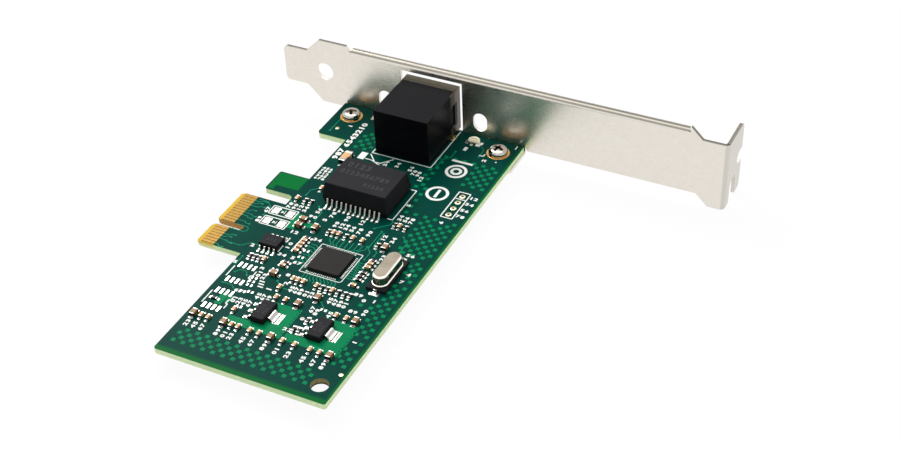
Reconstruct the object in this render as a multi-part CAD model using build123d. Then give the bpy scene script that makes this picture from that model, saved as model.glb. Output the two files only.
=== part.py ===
from build123d import *
import os

# Network interface card: a printed board with an edge connector, one wired socket and a
# full-height slot bracket. Millimetres.
# The origin is the middle of the key notch, at the tip of the edge connector and half way
# through the board. +X runs along the bracket to its mounting flange, +Y from the free end
# of the board to the bracket, and +Z out of the side that carries the components.

# Small rounds that repeat, or that another piece hides, are prisms with this many sides
SMALL_SIDES = 12
# How far a cut runs past what it cuts
PAST = 1.0

# Board
BOARD_THICK = 1.57
BOARD_WIDTH = 42.5
BOARD_LENGTH = 100.55
TIP_TO_BOARD = 12.4
TIP_TO_BLOCK = 4.1
BLOCK_LENGTH = 14.8
BLOCK_ROUND = 1.0
TIP_TO_HOOK = 4.25
HOOK_LENGTH = 7.5
HOOK_GAP = 3.85
HOOK_ROUND = 1.6
CORNER_ROUND = 0.5
TOOLING_RADIUS = 2.05
TOOLING_FROM_SIDE = 3.8
TOOLING_FROM_END = 4.6

# Edge connector
EDGE_LONG_SIDE = 12.15
EDGE_SHORT_SIDE = 8.15
KEY_WIDTH = 1.9
KEY_DEPTH = 7.9
KEY_ROUND = 0.9
TIP_CHAMFER = 0.6
BEVEL_LENGTH = 1.3
BEVEL_DEPTH = 0.45
FINGER_PITCH = 1.0
FINGER_WIDTH = 0.7
FINGER_END = 4.8
FINGER_THICK = 0.05
KEY_TO_FINGER = 1.5
LONG_FINGERS = 11
SHORT_FINGERS = 7

# Bracket, one folded sheet
KEY_TO_BRACKET = 57.15
SHEET = 0.86
BEND_INNER = 0.4
BRACKET_LENGTH = 120.02
BRACKET_WIDTH = 18.42
BRACKET_DROP = 0.6
TIP_TO_FLANGE = 106.5
TONGUE_WIDTH = 10.19
TONGUE_CENTRE = 9.4
TONGUE_ROUND = 1.2
SHOULDER = 10.7
TONGUE_HOLE_RADIUS = 2.4
TONGUE_HOLE_FROM_END = 12.0
LIP_FROM_END = 20.1
LIP_LENGTH = 90.0
LIP_REACH = 1.7
LIP_DROP = 0.95
LIP_RELIEF = 0.5
LIP_RELIEF_SLOPE = 0.8
LIP_RELIEF_DEPTH = 1.6
FLANGE_DEPTH = 11.43
FLANGE_SHIFT = 3.05
FLANGE_ROUND = 1.3
TOP_STEP = 6.3
LOW_STEP = 4.1
SLOT_WIDTH = 4.42
SLOT_CENTRE = 5.7
SLOT_DEPTH = 6.2
NOTCH_WIDTH = 3.5
NOTCH_DEPTH = 3.4
NOTCH_FROM_LOW = 7.8
WINDOW_WIDTH = 3.8
WINDOW_HEIGHT = 5.2
WINDOW_CENTRE = 3.85

# Bracket ears and screws
EAR_WIDTH = 10.0
EAR_DEPTH = 10.2
EAR_CORNER = 1.5
EAR_RELIEF = 0.6
EAR_RELIEF_DEPTH = 1.3
LEFT_SCREW_X = 8.6
RIGHT_SCREW_X = 50.1
SCREW_SETBACK = 5.3
SCREW_RADIUS = 1.4
THREAD_CLEARANCE = 0.02
BOARD_HOLE_CLEARANCE = 0.2
COLLAR_WALL = 0.8
COLLAR_HEIGHT = 0.8
SCREW_LENGTH = 5.0
HEAD_RADIUS = 2.4
HEAD_SIDES = 20
HEAD_HEIGHT = 1.65
HEAD_WALL = 0.75
HEAD_DRAW = 0.8
CROSS_SPAN = 2.6
CROSS_WIDTH = 0.55
CROSS_DEPTH = 1.1
CROSS_TURN = 28

# Metal lands on the board
LAND_THICK = 0.05
SCREW_LAND_RADIUS = 2.95

# Wired socket
SOCKET_X = 29.4
SOCKET_WIDTH = 14.8
SOCKET_HEIGHT = 12.4
SOCKET_SETBACK = 17.0
SOCKET_PROUD = 0.3
OPENING_WIDTH = 17.0
OPENING_TOP = 16.2
OPENING_LOW = 0.5
OPENING_ROUND = 0.8
PLUG_WIDTH = 11.9
PLUG_HEIGHT = 6.8
PLUG_DEPTH = 11.0
PLUG_FLOOR = 2.1
LATCH_WIDTH = 6.3
LATCH_HEIGHT = 1.4
LATCH_GUIDE_WIDTH = 3.6
LATCH_GUIDE_HEIGHT = 0.8
PEG_RADIUS = 1.6
PEG_CLEARANCE = 0.05
PEG_LENGTH = 2.6
PEG_SPACING = 11.43
PEG_FROM_FRONT = 9.6

# Socket contacts and the block that carries them
CONTACTS = 8
CONTACT_PITCH = 1.02
CONTACT_WIDTH = 0.4
CONTACT_THICK = 0.3
CONTACT_RISE = 3.4
CONTACT_RUN = 1.45
CONTACT_TURN = 0.7
CONTACT_SETBACK = 0.6
CONTACT_TAIL = 0.9
CONTACT_FRONT_WALL = 1.5
TAIL_ROWS = 2.54
TAIL_FROM_REAR = 2.1
TAIL_HOLE_RADIUS = 0.45
CHANNEL_FLOOR = 0.9
BLOCK_WIDTH = 9.2
BLOCK_HEIGHT = 5.6
BLOCK_REAR_WALL = 0.9
COMB_GAP = 0.1
BLOCK_CLEARANCE = 0.05

# Socket shield
SHIELD_SHEET = 0.25
SHIELD_TOP_DEPTH = 2.7
SHIELD_SIDE_DEPTH = 5.4
SHIELD_WINDOW_MARGIN = 0.25
SHIELD_CUT_LOW = 3.0
SHIELD_CUT_HIGH = 8.9
SHIELD_CUT_DEPTH = 3.5
SHIELD_CUT_SLOPE = 0.9
SHIELD_LIFT = 0.15
SIDE_RIB = 1.2
LEG_WIDTH = 1.1
LEG_LENGTH = 2.4
LEG_HOLE_RADIUS = 0.75
TAIL_JOINT_RADIUS = 0.75
LEG_JOINT_RADIUS = 1.15
JOINT_HEIGHT = 0.7
JOINT_FOOT = 0.2
JOINT_DRAW = 0.35
JOINT_SIDES = 8

# Status lamps beside the socket
LAMP_OFFSET = 13.4
LAMP_SETBACK = 3.4
LAMP_WIDTH = 3.0
LAMP_DEPTH = 0.9
LAMP_HEIGHT = 1.3
LENS_RADIUS = 1.1
LENS_HEIGHT = 1.1

# Transformer package
TRANSFORMER_X = 28.75
TRANSFORMER_Y = 23.15
TRANSFORMER_LENGTH = 17.5
TRANSFORMER_WIDTH = 12.7
TRANSFORMER_HEIGHT = 5.5
TRANSFORMER_LIFT = 0.2
TRANSFORMER_SEAM = 1.6
TRANSFORMER_DRAFT = 9
TRANSFORMER_LEAD_COUNT = 12
TRANSFORMER_PITCH = 1.27
TRANSFORMER_SPAN = 16.2
TRANSFORMER_LEAD_WIDTH = 0.45
TRANSFORMER_LEAD_THICK = 0.25
TRANSFORMER_FOOT = 0.8

# Controller, a flat square package with lands at its edges
CONTROLLER_AT = (33.5, -3.05)
CONTROLLER_SIZE = 9.0
CONTROLLER_HEIGHT = 0.85
CONTROLLER_PITCH = 0.5
CONTROLLER_LANDS = 16
CONTROLLER_LAND_WIDTH = 0.26
CONTROLLER_LAND_REACH = 0.5
CONTROLLER_LAND_HEIGHT = 0.16

# Memory, an eight-lead package, and the two empty places for such packages
MEMORY_AT = (17.5, -2.6)
MEMORY_LENGTH = 4.9
MEMORY_WIDTH = 3.9
MEMORY_HEIGHT = 1.5
MEMORY_LIFT = 0.1
MEMORY_SEAM = 0.8
MEMORY_DRAFT = 7
MEMORY_SPAN = 6.0
MEMORY_LEAD_COUNT = 4
MEMORY_PITCH = 1.27
MEMORY_LEAD_WIDTH = 0.42
MEMORY_LEAD_THICK = 0.2
MEMORY_FOOT = 0.45
EMPTY_PLACES = [(16.5, -14.6), (16.5, -24.4)]
EMPTY_PAD = (0.65, 1.8)
EMPTY_SPAN = 5.5

# Crystal in a flat can
CRYSTAL_AT = (47.5, -1.9)
CRYSTAL_CAN_LENGTH = 10.2
CRYSTAL_CAN_WIDTH = 3.6
CRYSTAL_CAN_HEIGHT = 2.7
CRYSTAL_CAN_CHAMFER = 0.3
CRYSTAL_RIM = 0.5
CRYSTAL_RIM_HEIGHT = 0.35
CRYSTAL_BASE_LENGTH = 12.0
CRYSTAL_BASE_WIDTH = 4.9
CRYSTAL_BASE_HEIGHT = 0.8
CRYSTAL_FOOT_WIDTH = 0.9
CRYSTAL_FOOT_REACH = 0.8
CRYSTAL_STRIP = 0.24

# Voltage regulators
REGULATOR_Y = -24.7
REGULATOR_X = [28.75, 43.05]
REGULATOR_LENGTH = 6.5
REGULATOR_WIDTH = 3.5
REGULATOR_HEIGHT = 1.6
REGULATOR_LIFT = 0.05
REGULATOR_SEAM = 0.8
REGULATOR_DRAFT = 9
REGULATOR_SPAN = 7.0
REGULATOR_PITCH = 2.3
REGULATOR_LEAD_WIDTH = 0.7
REGULATOR_TAB_WIDTH = 3.0
REGULATOR_LEAD_THICK = 0.28
REGULATOR_FOOT = 0.7

# Chip parts: length, width and height, and how much of the length each metal end takes
SMALL_CAPACITOR = (1.5, 0.8, 0.75)
LARGE_CAPACITOR = (2.0, 1.25, 1.1)
SURGE_CAPACITOR = (4.4, 2.0, 1.5)
RESISTOR = (1.5, 0.8, 0.45)
CHIP_END_SHARE = 0.2
CHIP_ACROSS = 90

# Rows of chips: the row's place across the board, then the places along it.
# In a row each chip lies across the row, in a column each lies across the column.
SMALL_CAPACITOR_ROWS = [
    (15.2, [13.9, 41.6]),
    (21.0, [17.3]),
    (6.8, [28.6, 30.0, 33.7, 36.2]),
    (-8.3, [18.8]),
    (-11.7, [28.5, 29.8, 31.2, 34.6, 38.6]),
    (-15.5, [27.2]),
    (-18.8, [28.3, 30.7, 43.6, 46.1]),
    (-26.1, [21.9]),
    (-30.8, [16.3, 18.1, 24.1, 25.8, 28.8, 31.1, 37.0, 40.1, 43.9, 46.2]),
]
LARGE_CAPACITOR_ROWS = [
    (6.6, [23.8, 42.3]),
    (-15.3, [37.0]),
    (-18.9, [34.0, 48.5]),
    (-30.9, [14.4, 22.2, 34.2, 48.8]),
]
RESISTOR_ROWS = [
    (15.2, [16.1, 17.7, 40.3, 43.2]),
    (6.8, [27.3, 31.8, 40.2]),
    (-8.3, [15.0, 16.3, 17.5]),
    (-11.7, [35.9, 37.3, 40.1, 41.7, 43.1]),
    (-22.6, [38.6]),
    (-26.3, [37.2, 38.6]),
]
SMALL_CAPACITOR_COLUMNS = [
    (23.9, [1.5, 0.2, -1.1, -2.5, -8.4]),
    (42.1, [0.1, -1.3, -8.1]),
]
LARGE_CAPACITOR_COLUMNS = [
    (19.7, [8.3, 6.0]),
    (23.6, [-11.9]),
]
RESISTOR_COLUMNS = [
    (23.9, [2.8, -7.0]),
    (42.1, [1.5, -3.2, -4.5, -5.8]),
    (15.6, [-24.4]),
]
SURGE_CAPACITOR_AT = (16.9, 34.0)

# Bare tinned pads that carry no part
DIODE_PLACES = [(13.55, 9.15), (13.55, 4.95)]
DIODE_PAD = (1.9, 2.3)
DIODE_SPAN = 3.9
HEADER_X = 49.9
HEADER_FIRST = 24.3
HEADER_PITCH = 2.54
HEADER_PADS = 4
HEADER_PAD_RADIUS = 0.65
LAMP_PAD = (0.8, 1.0)

# Places that follow from the sizes above
TOP = BOARD_THICK / 2
UNDER = -BOARD_THICK / 2
BOARD_LEFT = TIP_TO_BOARD
BOARD_RIGHT = BOARD_LEFT + BOARD_WIDTH
BOARD_FAR = KEY_TO_BRACKET - BEND_INNER
BOARD_NEAR = BOARD_FAR - BOARD_LENGTH
BRACKET_OUTER = KEY_TO_BRACKET + SHEET
TONGUE_END = TIP_TO_FLANGE - BRACKET_LENGTH
BRACKET_LOW = -BRACKET_DROP
BRACKET_TOP = BRACKET_LOW + BRACKET_WIDTH
BEND_OUTER = BEND_INNER + SHEET
FLANGE_LOW = BRACKET_LOW - FLANGE_SHIFT
FLANGE_TOP = BRACKET_TOP - FLANGE_SHIFT
SCREW_Y = KEY_TO_BRACKET - SCREW_SETBACK
SCREWS_X = [LEFT_SCREW_X, RIGHT_SCREW_X]
SOCKET_REAR = KEY_TO_BRACKET - SOCKET_SETBACK
SOCKET_FRONT = BRACKET_OUTER + SOCKET_PROUD
SOCKET_TOP = TOP + SOCKET_HEIGHT
PLUG_REAR = SOCKET_FRONT - PLUG_DEPTH
PLUG_LOW = TOP + PLUG_FLOOR
PLUG_TOP = PLUG_LOW + PLUG_HEIGHT
LAMP_Y = KEY_TO_BRACKET - LAMP_SETBACK
LAMPS_X = [SOCKET_X - LAMP_OFFSET, SOCKET_X + LAMP_OFFSET]
LEG_Y = SOCKET_FRONT - SHIELD_SIDE_DEPTH + LEG_WIDTH / 2
LEGS_X = [SOCKET_X + side * (SOCKET_WIDTH - SHIELD_SHEET) / 2 for side in (-1, 1)]
CONTACTS_X = [SOCKET_X + (i - (CONTACTS - 1) / 2) * CONTACT_PITCH for i in range(CONTACTS)]
TAILS_Y = [SOCKET_REAR + TAIL_FROM_REAR + (i % 2) * TAIL_ROWS for i in range(CONTACTS)]
CHANNEL_WIDTH = CONTACTS * CONTACT_PITCH + 2 * COMB_GAP
PEGS_X = [SOCKET_X - PEG_SPACING / 2, SOCKET_X + PEG_SPACING / 2]
PEG_Y = SOCKET_FRONT - PEG_FROM_FRONT

# Sketch planes: the bracket's plate seen from the board, the flange seen from its end,
# and a cut across the bracket or the socket
PLATE_PLANE = Plane(origin=(0, KEY_TO_BRACKET, 0), x_dir=(1, 0, 0), z_dir=(0, -1, 0))
FLANGE_PLANE = Plane(origin=(TIP_TO_FLANGE, 0, 0), x_dir=(0, 1, 0), z_dir=(1, 0, 0))


def across(x):
    # The plane across the card at x, with +Y to the right and +Z up
    return Plane(origin=(x, 0, 0), x_dir=(0, 1, 0), z_dir=(1, 0, 0))


def along(y):
    # The plane along the card at y, with +X to the right, +Z up, and its normal to -Y
    return Plane(origin=(0, y, 0), x_dir=(1, 0, 0), z_dir=(0, -1, 0))


def outline(*corners):
    # A closed outline: a corner is (x, y), or (x, y, radius) where it is rounded
    face = make_face(Polyline(*[(c[0], c[1]) for c in corners], close=True))
    for corner in corners:
        if len(corner) == 3:
            place = Vector(corner[0], corner[1], 0)
            vertex = min(face.vertices(), key=lambda v: (Vector(*v) - place).length)
            face = fillet(vertex, corner[2])
    return face


def bent_strip(points, thick):
    # The outline of a strip of even thickness that follows a bent centre line
    left = []
    right = []
    for i, point in enumerate(points):
        here = Vector(*point)
        back = (here - Vector(*points[i - 1])).normalized() if i > 0 else None
        ahead = (Vector(*points[i + 1]) - here).normalized() if i < len(points) - 1 else None
        back = back or ahead
        ahead = ahead or back
        normal = Vector(-(back.Y + ahead.Y), back.X + ahead.X).normalized()
        reach = thick / 2 / normal.dot(Vector(-back.Y, back.X))
        left.append(here + normal * reach)
        right.append(here - normal * reach)
    return outline(*[(p.X, p.Y) for p in left + right[::-1]])


def block(x0, x1, y0, y1, z0, z1):
    # A box between two corners
    centre = Pos((x0 + x1) / 2, (y0 + y1) / 2, (z0 + z1) / 2)
    return centre * Box(x1 - x0, y1 - y0, z1 - z0)


def standing(x, y, z, sx, sy, sz):
    # A box that stands on height z, centred on x and y
    return Pos(x, y, z + sz / 2) * Box(sx, sy, sz)


def post(x, y, z0, z1, radius):
    return Pos(x, y, (z0 + z1) / 2) * Cylinder(radius, z1 - z0)


def prism(x, y, z0, z1, radius):
    # A small round of few sides that a circle of the radius fits inside
    return Pos(x, y, z0) * extrude(RegularPolygon(radius, SMALL_SIDES, major_radius=False), z1 - z0)


def save(name, solids):
    # One file for each node
    pieces = solids if isinstance(solids, list) else [solids]
    found = [solid for piece in pieces for solid in piece.solids()]
    shape = found[0] if len(found) == 1 else Compound(found)
    export_step(shape, os.path.join("parts", name + ".step"))


# Board

def circuit_board():
    hook_low = EDGE_LONG_SIDE + HOOK_GAP
    hook_high = hook_low + HOOK_LENGTH
    block_low = BOARD_FAR - BLOCK_LENGTH
    half_key = KEY_WIDTH / 2
    face = outline(
        (BOARD_LEFT, BOARD_NEAR, CORNER_ROUND),
        (BOARD_RIGHT, BOARD_NEAR, CORNER_ROUND),
        (BOARD_RIGHT, BOARD_FAR),
        (TIP_TO_BLOCK, BOARD_FAR),
        (TIP_TO_BLOCK, block_low, BLOCK_ROUND),
        (BOARD_LEFT, block_low),
        (BOARD_LEFT, hook_high),
        (TIP_TO_HOOK, hook_high, CORNER_ROUND),
        (TIP_TO_HOOK, hook_low, CORNER_ROUND),
        (BOARD_LEFT, hook_low, HOOK_ROUND),
        (BOARD_LEFT, EDGE_LONG_SIDE),
        (0, EDGE_LONG_SIDE),
        (0, half_key + TIP_CHAMFER),
        (TIP_CHAMFER, half_key),
        (KEY_DEPTH - half_key, half_key),
        (KEY_DEPTH, half_key, KEY_ROUND),
        (KEY_DEPTH, -half_key, KEY_ROUND),
        (KEY_DEPTH - half_key, -half_key),
        (TIP_CHAMFER, -half_key),
        (0, -half_key - TIP_CHAMFER),
        (0, TIP_CHAMFER - EDGE_SHORT_SIDE),
        (TIP_CHAMFER, -EDGE_SHORT_SIDE),
        (BOARD_LEFT, -EDGE_SHORT_SIDE),
    )
    board = Pos(0, 0, UNDER) * extrude(face, BOARD_THICK)
    bevel = outline((0, 0), (BEVEL_LENGTH, 0), (0, -BEVEL_DEPTH))
    for side in (-1, 1):
        wedge = extrude(along(EDGE_LONG_SIDE) * bevel, EDGE_LONG_SIDE + EDGE_SHORT_SIDE)
        wedge = Pos(0, 0, TOP) * wedge
        board -= wedge if side > 0 else mirror(wedge, Plane.XY)
    for hole in board_holes():
        board -= hole
    return board


def board_holes():
    low = UNDER - PAST
    high = TOP + PAST
    tooling_x = BOARD_RIGHT - TOOLING_FROM_SIDE
    tooling_y = BOARD_NEAR + TOOLING_FROM_END
    holes = [post(tooling_x, tooling_y, low, high, TOOLING_RADIUS)]
    for x in SCREWS_X:
        holes.append(prism(x, SCREW_Y, low, high, SCREW_RADIUS + BOARD_HOLE_CLEARANCE))
    for x in PEGS_X:
        holes.append(prism(x, PEG_Y, low, high, PEG_RADIUS + PEG_CLEARANCE))
    for x in LEGS_X:
        holes.append(prism(x, LEG_Y, low, high, LEG_HOLE_RADIUS))
    for x, y in zip(CONTACTS_X, TAILS_Y):
        holes.append(prism(x, y, low, high, TAIL_HOLE_RADIUS))
    return holes


def edge_contacts():
    places = [KEY_TO_FINGER + i * FINGER_PITCH for i in range(LONG_FINGERS)]
    places += [-KEY_TO_FINGER - i * FINGER_PITCH for i in range(SHORT_FINGERS)]
    length = FINGER_END - BEVEL_LENGTH
    middle = BEVEL_LENGTH + length / 2
    fingers = [standing(middle, y, TOP, length, FINGER_WIDTH, FINGER_THICK) for y in places]
    return fingers + [mirror(finger, Plane.XY) for finger in fingers]


def ground_lands():
    # The bare ring under each screw head
    lands = []
    for x in SCREWS_X:
        land = prism(x, SCREW_Y, TOP, TOP + LAND_THICK, SCREW_LAND_RADIUS)
        lands.append(land - prism(x, SCREW_Y, TOP - PAST, TOP + PAST, SCREW_RADIUS + BOARD_HOLE_CLEARANCE))
    return lands


def bare_pads():
    pads = []
    for x, y in EMPTY_PLACES:
        for i in range(MEMORY_LEAD_COUNT):
            px = x + (i - (MEMORY_LEAD_COUNT - 1) / 2) * MEMORY_PITCH
            for side in (-1, 1):
                pads.append(standing(px, y + side * EMPTY_SPAN / 2, TOP, *EMPTY_PAD, LAND_THICK))
    for x, y in DIODE_PLACES:
        for side in (-1, 1):
            pads.append(standing(x + side * DIODE_SPAN / 2, y, TOP, *DIODE_PAD, LAND_THICK))
    for i in range(HEADER_PADS):
        y = HEADER_FIRST + i * HEADER_PITCH
        pads.append(prism(HEADER_X, y, TOP, TOP + LAND_THICK, HEADER_PAD_RADIUS))
    for x in LAMPS_X:
        for side in (-1, 1):
            px = x + side * (LAMP_WIDTH + LAMP_PAD[0]) / 2
            pads.append(standing(px, LAMP_Y, TOP, *LAMP_PAD, LAND_THICK))
    return pads


# Bracket

def plate_outline():
    shoulder = TONGUE_END + SHOULDER
    tongue_low = BRACKET_LOW + TONGUE_CENTRE - TONGUE_WIDTH / 2
    tongue_top = tongue_low + TONGUE_WIDTH
    lip_left = TONGUE_END + LIP_FROM_END
    lip_right = lip_left + LIP_LENGTH
    lip_foot = BRACKET_TOP - LIP_DROP - BEND_OUTER
    relief = BRACKET_TOP - LIP_RELIEF_DEPTH
    bend = TIP_TO_FLANGE - BEND_OUTER
    return outline(
        (TONGUE_END, tongue_low, TONGUE_ROUND),
        (shoulder - (tongue_low - BRACKET_LOW), tongue_low),
        (shoulder, BRACKET_LOW),
        (TIP_TO_FLANGE - LOW_STEP - FLANGE_SHIFT, BRACKET_LOW),
        (TIP_TO_FLANGE - LOW_STEP, FLANGE_LOW),
        (bend, FLANGE_LOW),
        (bend, FLANGE_TOP),
        (TIP_TO_FLANGE - TOP_STEP, FLANGE_TOP),
        (TIP_TO_FLANGE - TOP_STEP - FLANGE_SHIFT, BRACKET_TOP),
        (lip_right + LIP_RELIEF, relief),
        (lip_right, relief),
        (lip_right, lip_foot),
        (lip_left, lip_foot),
        (lip_left, relief),
        (lip_left - LIP_RELIEF, relief),
        (lip_left - LIP_RELIEF - LIP_RELIEF_SLOPE, BRACKET_TOP),
        (shoulder, BRACKET_TOP),
        (shoulder - (BRACKET_TOP - tongue_top), tongue_top),
        (TONGUE_END, tongue_top, TONGUE_ROUND),
    )


def flange():
    bend = TIP_TO_FLANGE - BEND_OUTER - SHEET
    inner = TIP_TO_FLANGE - SHEET
    end = KEY_TO_BRACKET + FLANGE_DEPTH
    profile = outline(
        (bend, KEY_TO_BRACKET),
        (TIP_TO_FLANGE, KEY_TO_BRACKET, BEND_OUTER),
        (TIP_TO_FLANGE, end),
        (inner, end),
        (inner, BRACKET_OUTER, BEND_INNER),
        (bend, BRACKET_OUTER),
    )
    sheet = Pos(0, 0, FLANGE_LOW) * extrude(profile, BRACKET_WIDTH)
    slot_end = FLANGE_LOW + SLOT_DEPTH - SLOT_WIDTH / 2
    slot_y = KEY_TO_BRACKET + SLOT_CENTRE
    slot = Pos(slot_y, (slot_end + FLANGE_LOW) / 2) * Rectangle(SLOT_WIDTH, slot_end - FLANGE_LOW)
    slot += Pos(slot_y, slot_end) * Circle(SLOT_WIDTH / 2)
    notch_z = FLANGE_LOW + NOTCH_FROM_LOW + NOTCH_WIDTH / 2
    notch_end = end - NOTCH_DEPTH + NOTCH_WIDTH / 2
    notch = Pos((notch_end + end) / 2, notch_z) * Rectangle(end - notch_end, NOTCH_WIDTH)
    notch += Pos(notch_end, notch_z) * Circle(NOTCH_WIDTH / 2)
    sheet -= extrude(FLANGE_PLANE * (slot + notch), SHEET * 2, both=True)
    corners = sheet.edges().filter_by(Axis.X).group_by(Axis.Y)[-1]
    outer = corners.sort_by(Axis.Z)
    return fillet([outer[0], outer[-1]], FLANGE_ROUND)


def lip():
    top = BRACKET_TOP - LIP_DROP
    foot = top - BEND_OUTER - SHEET
    reach = KEY_TO_BRACKET + LIP_REACH
    profile = outline(
        (KEY_TO_BRACKET, foot),
        (BRACKET_OUTER, foot),
        (BRACKET_OUTER, top - SHEET, BEND_INNER),
        (reach, top - SHEET),
        (reach, top),
        (KEY_TO_BRACKET, top, BEND_OUTER),
    )
    return extrude(across(TONGUE_END + LIP_FROM_END) * profile, LIP_LENGTH)


def ear(x):
    tip = KEY_TO_BRACKET - EAR_DEPTH
    bottom = UNDER - SHEET
    start = UNDER + BEND_OUTER
    profile = outline(
        (KEY_TO_BRACKET, start),
        (BRACKET_OUTER, start),
        (BRACKET_OUTER, bottom, BEND_OUTER),
        (tip, bottom),
        (tip, UNDER),
        (KEY_TO_BRACKET, UNDER, BEND_INNER),
    )
    shape = extrude(across(x - EAR_WIDTH / 2) * profile, EAR_WIDTH)
    corners = shape.edges().filter_by(Axis.Z).group_by(Axis.Y)[0]
    shape = chamfer(corners, EAR_CORNER)
    hole = SCREW_RADIUS + THREAD_CLEARANCE
    shape += prism(x, SCREW_Y, bottom - COLLAR_HEIGHT, bottom, hole + COLLAR_WALL)
    return shape - prism(x, SCREW_Y, bottom - COLLAR_HEIGHT - PAST, UNDER + PAST, hole)


def oval(width, height):
    straight = height - width
    shape = Rectangle(width, straight)
    for side in (-1, 1):
        shape += Pos(0, side * straight / 2) * Circle(width / 2)
    return shape


def bracket():
    face = plate_outline()
    face -= Pos(TONGUE_END + TONGUE_HOLE_FROM_END, BRACKET_LOW + TONGUE_CENTRE) * Circle(TONGUE_HOLE_RADIUS)
    for x in LAMPS_X:
        face -= Pos(x, TOP + WINDOW_CENTRE) * oval(WINDOW_WIDTH, WINDOW_HEIGHT)
    opening = Rectangle(OPENING_WIDTH, OPENING_TOP - OPENING_LOW)
    opening = fillet(opening.vertices(), OPENING_ROUND)
    face -= Pos(SOCKET_X, (OPENING_TOP + OPENING_LOW) / 2) * opening
    plate = extrude(PLATE_PLANE * face, -SHEET)
    plate += flange()
    plate += lip()
    start = UNDER + BEND_INNER
    for x in SCREWS_X:
        half = EAR_WIDTH / 2
        for side in (-1, 1):
            relief = outline(
                (side * half, BRACKET_LOW - SHEET),
                (side * (half + EAR_RELIEF), BRACKET_LOW - SHEET),
                (side * (half + EAR_RELIEF), BRACKET_LOW),
                (side * half, BRACKET_LOW + EAR_RELIEF_DEPTH),
            )
            plate -= extrude(PLATE_PLANE * (Pos(x, 0) * relief), -SHEET)
        plate -= block(x - half, x + half, KEY_TO_BRACKET, BRACKET_OUTER, BRACKET_LOW - SHEET, start)
        plate += ear(x)
    return plate


def bracket_screws():
    seat = TOP + LAND_THICK
    tip = TOP - SCREW_LENGTH
    crown = seat + HEAD_HEIGHT
    shank = outline((0, tip), (SCREW_RADIUS, tip), (SCREW_RADIUS, seat), (0, seat))
    # The head is a low dome, drawn as flat faces round a smaller crown
    head = Pos(0, 0, seat) * extrude(RegularPolygon(HEAD_RADIUS, HEAD_SIDES), HEAD_HEIGHT)
    top = head.faces().sort_by(Axis.Z)[-1]
    head = chamfer(top.edges(), HEAD_DRAW, HEAD_HEIGHT - HEAD_WALL, reference=top)
    screw = revolve(Plane.XZ * shank, Axis.Z) + head
    recess = Rectangle(CROSS_SPAN, CROSS_WIDTH) + Rectangle(CROSS_WIDTH, CROSS_SPAN)
    recess = Rot(0, 0, CROSS_TURN) * recess
    screw -= Pos(0, 0, crown) * extrude(recess, -CROSS_DEPTH)
    return [Pos(x, SCREW_Y, 0) * screw for x in SCREWS_X]


# Wired socket

def cavity(margin, y0, y1):
    # The stepped hollow that takes a plug and its latch
    half = PLUG_WIDTH / 2 + margin
    latch = LATCH_WIDTH / 2 + margin
    guide = LATCH_GUIDE_WIDTH / 2 + margin
    shape = block(SOCKET_X - half, SOCKET_X + half, y0, y1, PLUG_LOW - margin, PLUG_TOP + margin)
    step = PLUG_TOP + LATCH_HEIGHT + margin
    shape += block(SOCKET_X - latch, SOCKET_X + latch, y0, y1, PLUG_TOP, step)
    return shape + block(SOCKET_X - guide, SOCKET_X + guide, y0, y1, step, step + LATCH_GUIDE_HEIGHT)


def contact_pocket():
    # The room at the rear for the contact block, open to the board and to the plug
    half = BLOCK_WIDTH / 2 + BLOCK_CLEARANCE
    rear = SOCKET_REAR + BLOCK_REAR_WALL - BLOCK_CLEARANCE
    high = TOP + BLOCK_HEIGHT + BLOCK_CLEARANCE
    return block(SOCKET_X - half, SOCKET_X + half, rear, PLUG_REAR, TOP - PAST, high)


def contact_channel():
    half = CHANNEL_WIDTH / 2
    front = SOCKET_FRONT - CONTACT_FRONT_WALL
    return block(SOCKET_X - half, SOCKET_X + half, PLUG_REAR, front, TOP + CHANNEL_FLOOR, PLUG_LOW)


def shield_cut():
    # The side opening of the shield, seen from the side, open to the rear
    rear = SOCKET_FRONT - SHIELD_SIDE_DEPTH
    front = rear + SHIELD_CUT_DEPTH
    return outline(
        (rear, TOP + SHIELD_CUT_LOW - SHIELD_CUT_SLOPE),
        (rear + SHIELD_CUT_SLOPE, TOP + SHIELD_CUT_LOW),
        (front, TOP + SHIELD_CUT_LOW),
        (front, TOP + SHIELD_CUT_HIGH),
        (rear + SHIELD_CUT_SLOPE, TOP + SHIELD_CUT_HIGH),
        (rear, TOP + SHIELD_CUT_HIGH - SHIELD_CUT_SLOPE),
    )


def socket_housing():
    half = SOCKET_WIDTH / 2
    body = block(SOCKET_X - half, SOCKET_X + half, SOCKET_REAR, SOCKET_FRONT - SHIELD_SHEET, TOP, SOCKET_TOP)
    body -= cavity(0, PLUG_REAR, SOCKET_FRONT)
    body -= contact_pocket()
    body -= contact_channel()
    # The walls step in by the sheet of the shield that wraps them
    side_rear = SOCKET_FRONT - SHIELD_SIDE_DEPTH
    top_rear = SOCKET_FRONT - SHIELD_TOP_DEPTH
    skin = SHIELD_SHEET
    body -= block(SOCKET_X - half, SOCKET_X + half, top_rear, SOCKET_FRONT, SOCKET_TOP - skin, SOCKET_TOP)
    for side in (-1, 1):
        outer = SOCKET_X + side * half
        inner = outer - side * skin
        body -= block(min(outer, inner), max(outer, inner), side_rear, SOCKET_FRONT, TOP, SOCKET_TOP)
        rib_front = side_rear + SHIELD_CUT_DEPTH - BLOCK_CLEARANCE
        low = TOP + SHIELD_CUT_LOW + BLOCK_CLEARANCE
        high = TOP + SHIELD_CUT_HIGH - BLOCK_CLEARANCE
        body += block(min(outer, inner), max(outer, inner), rib_front - SIDE_RIB, rib_front, low, high)
    for x in PEGS_X:
        body += prism(x, PEG_Y, TOP - PEG_LENGTH, TOP, PEG_RADIUS)
    return body


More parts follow.
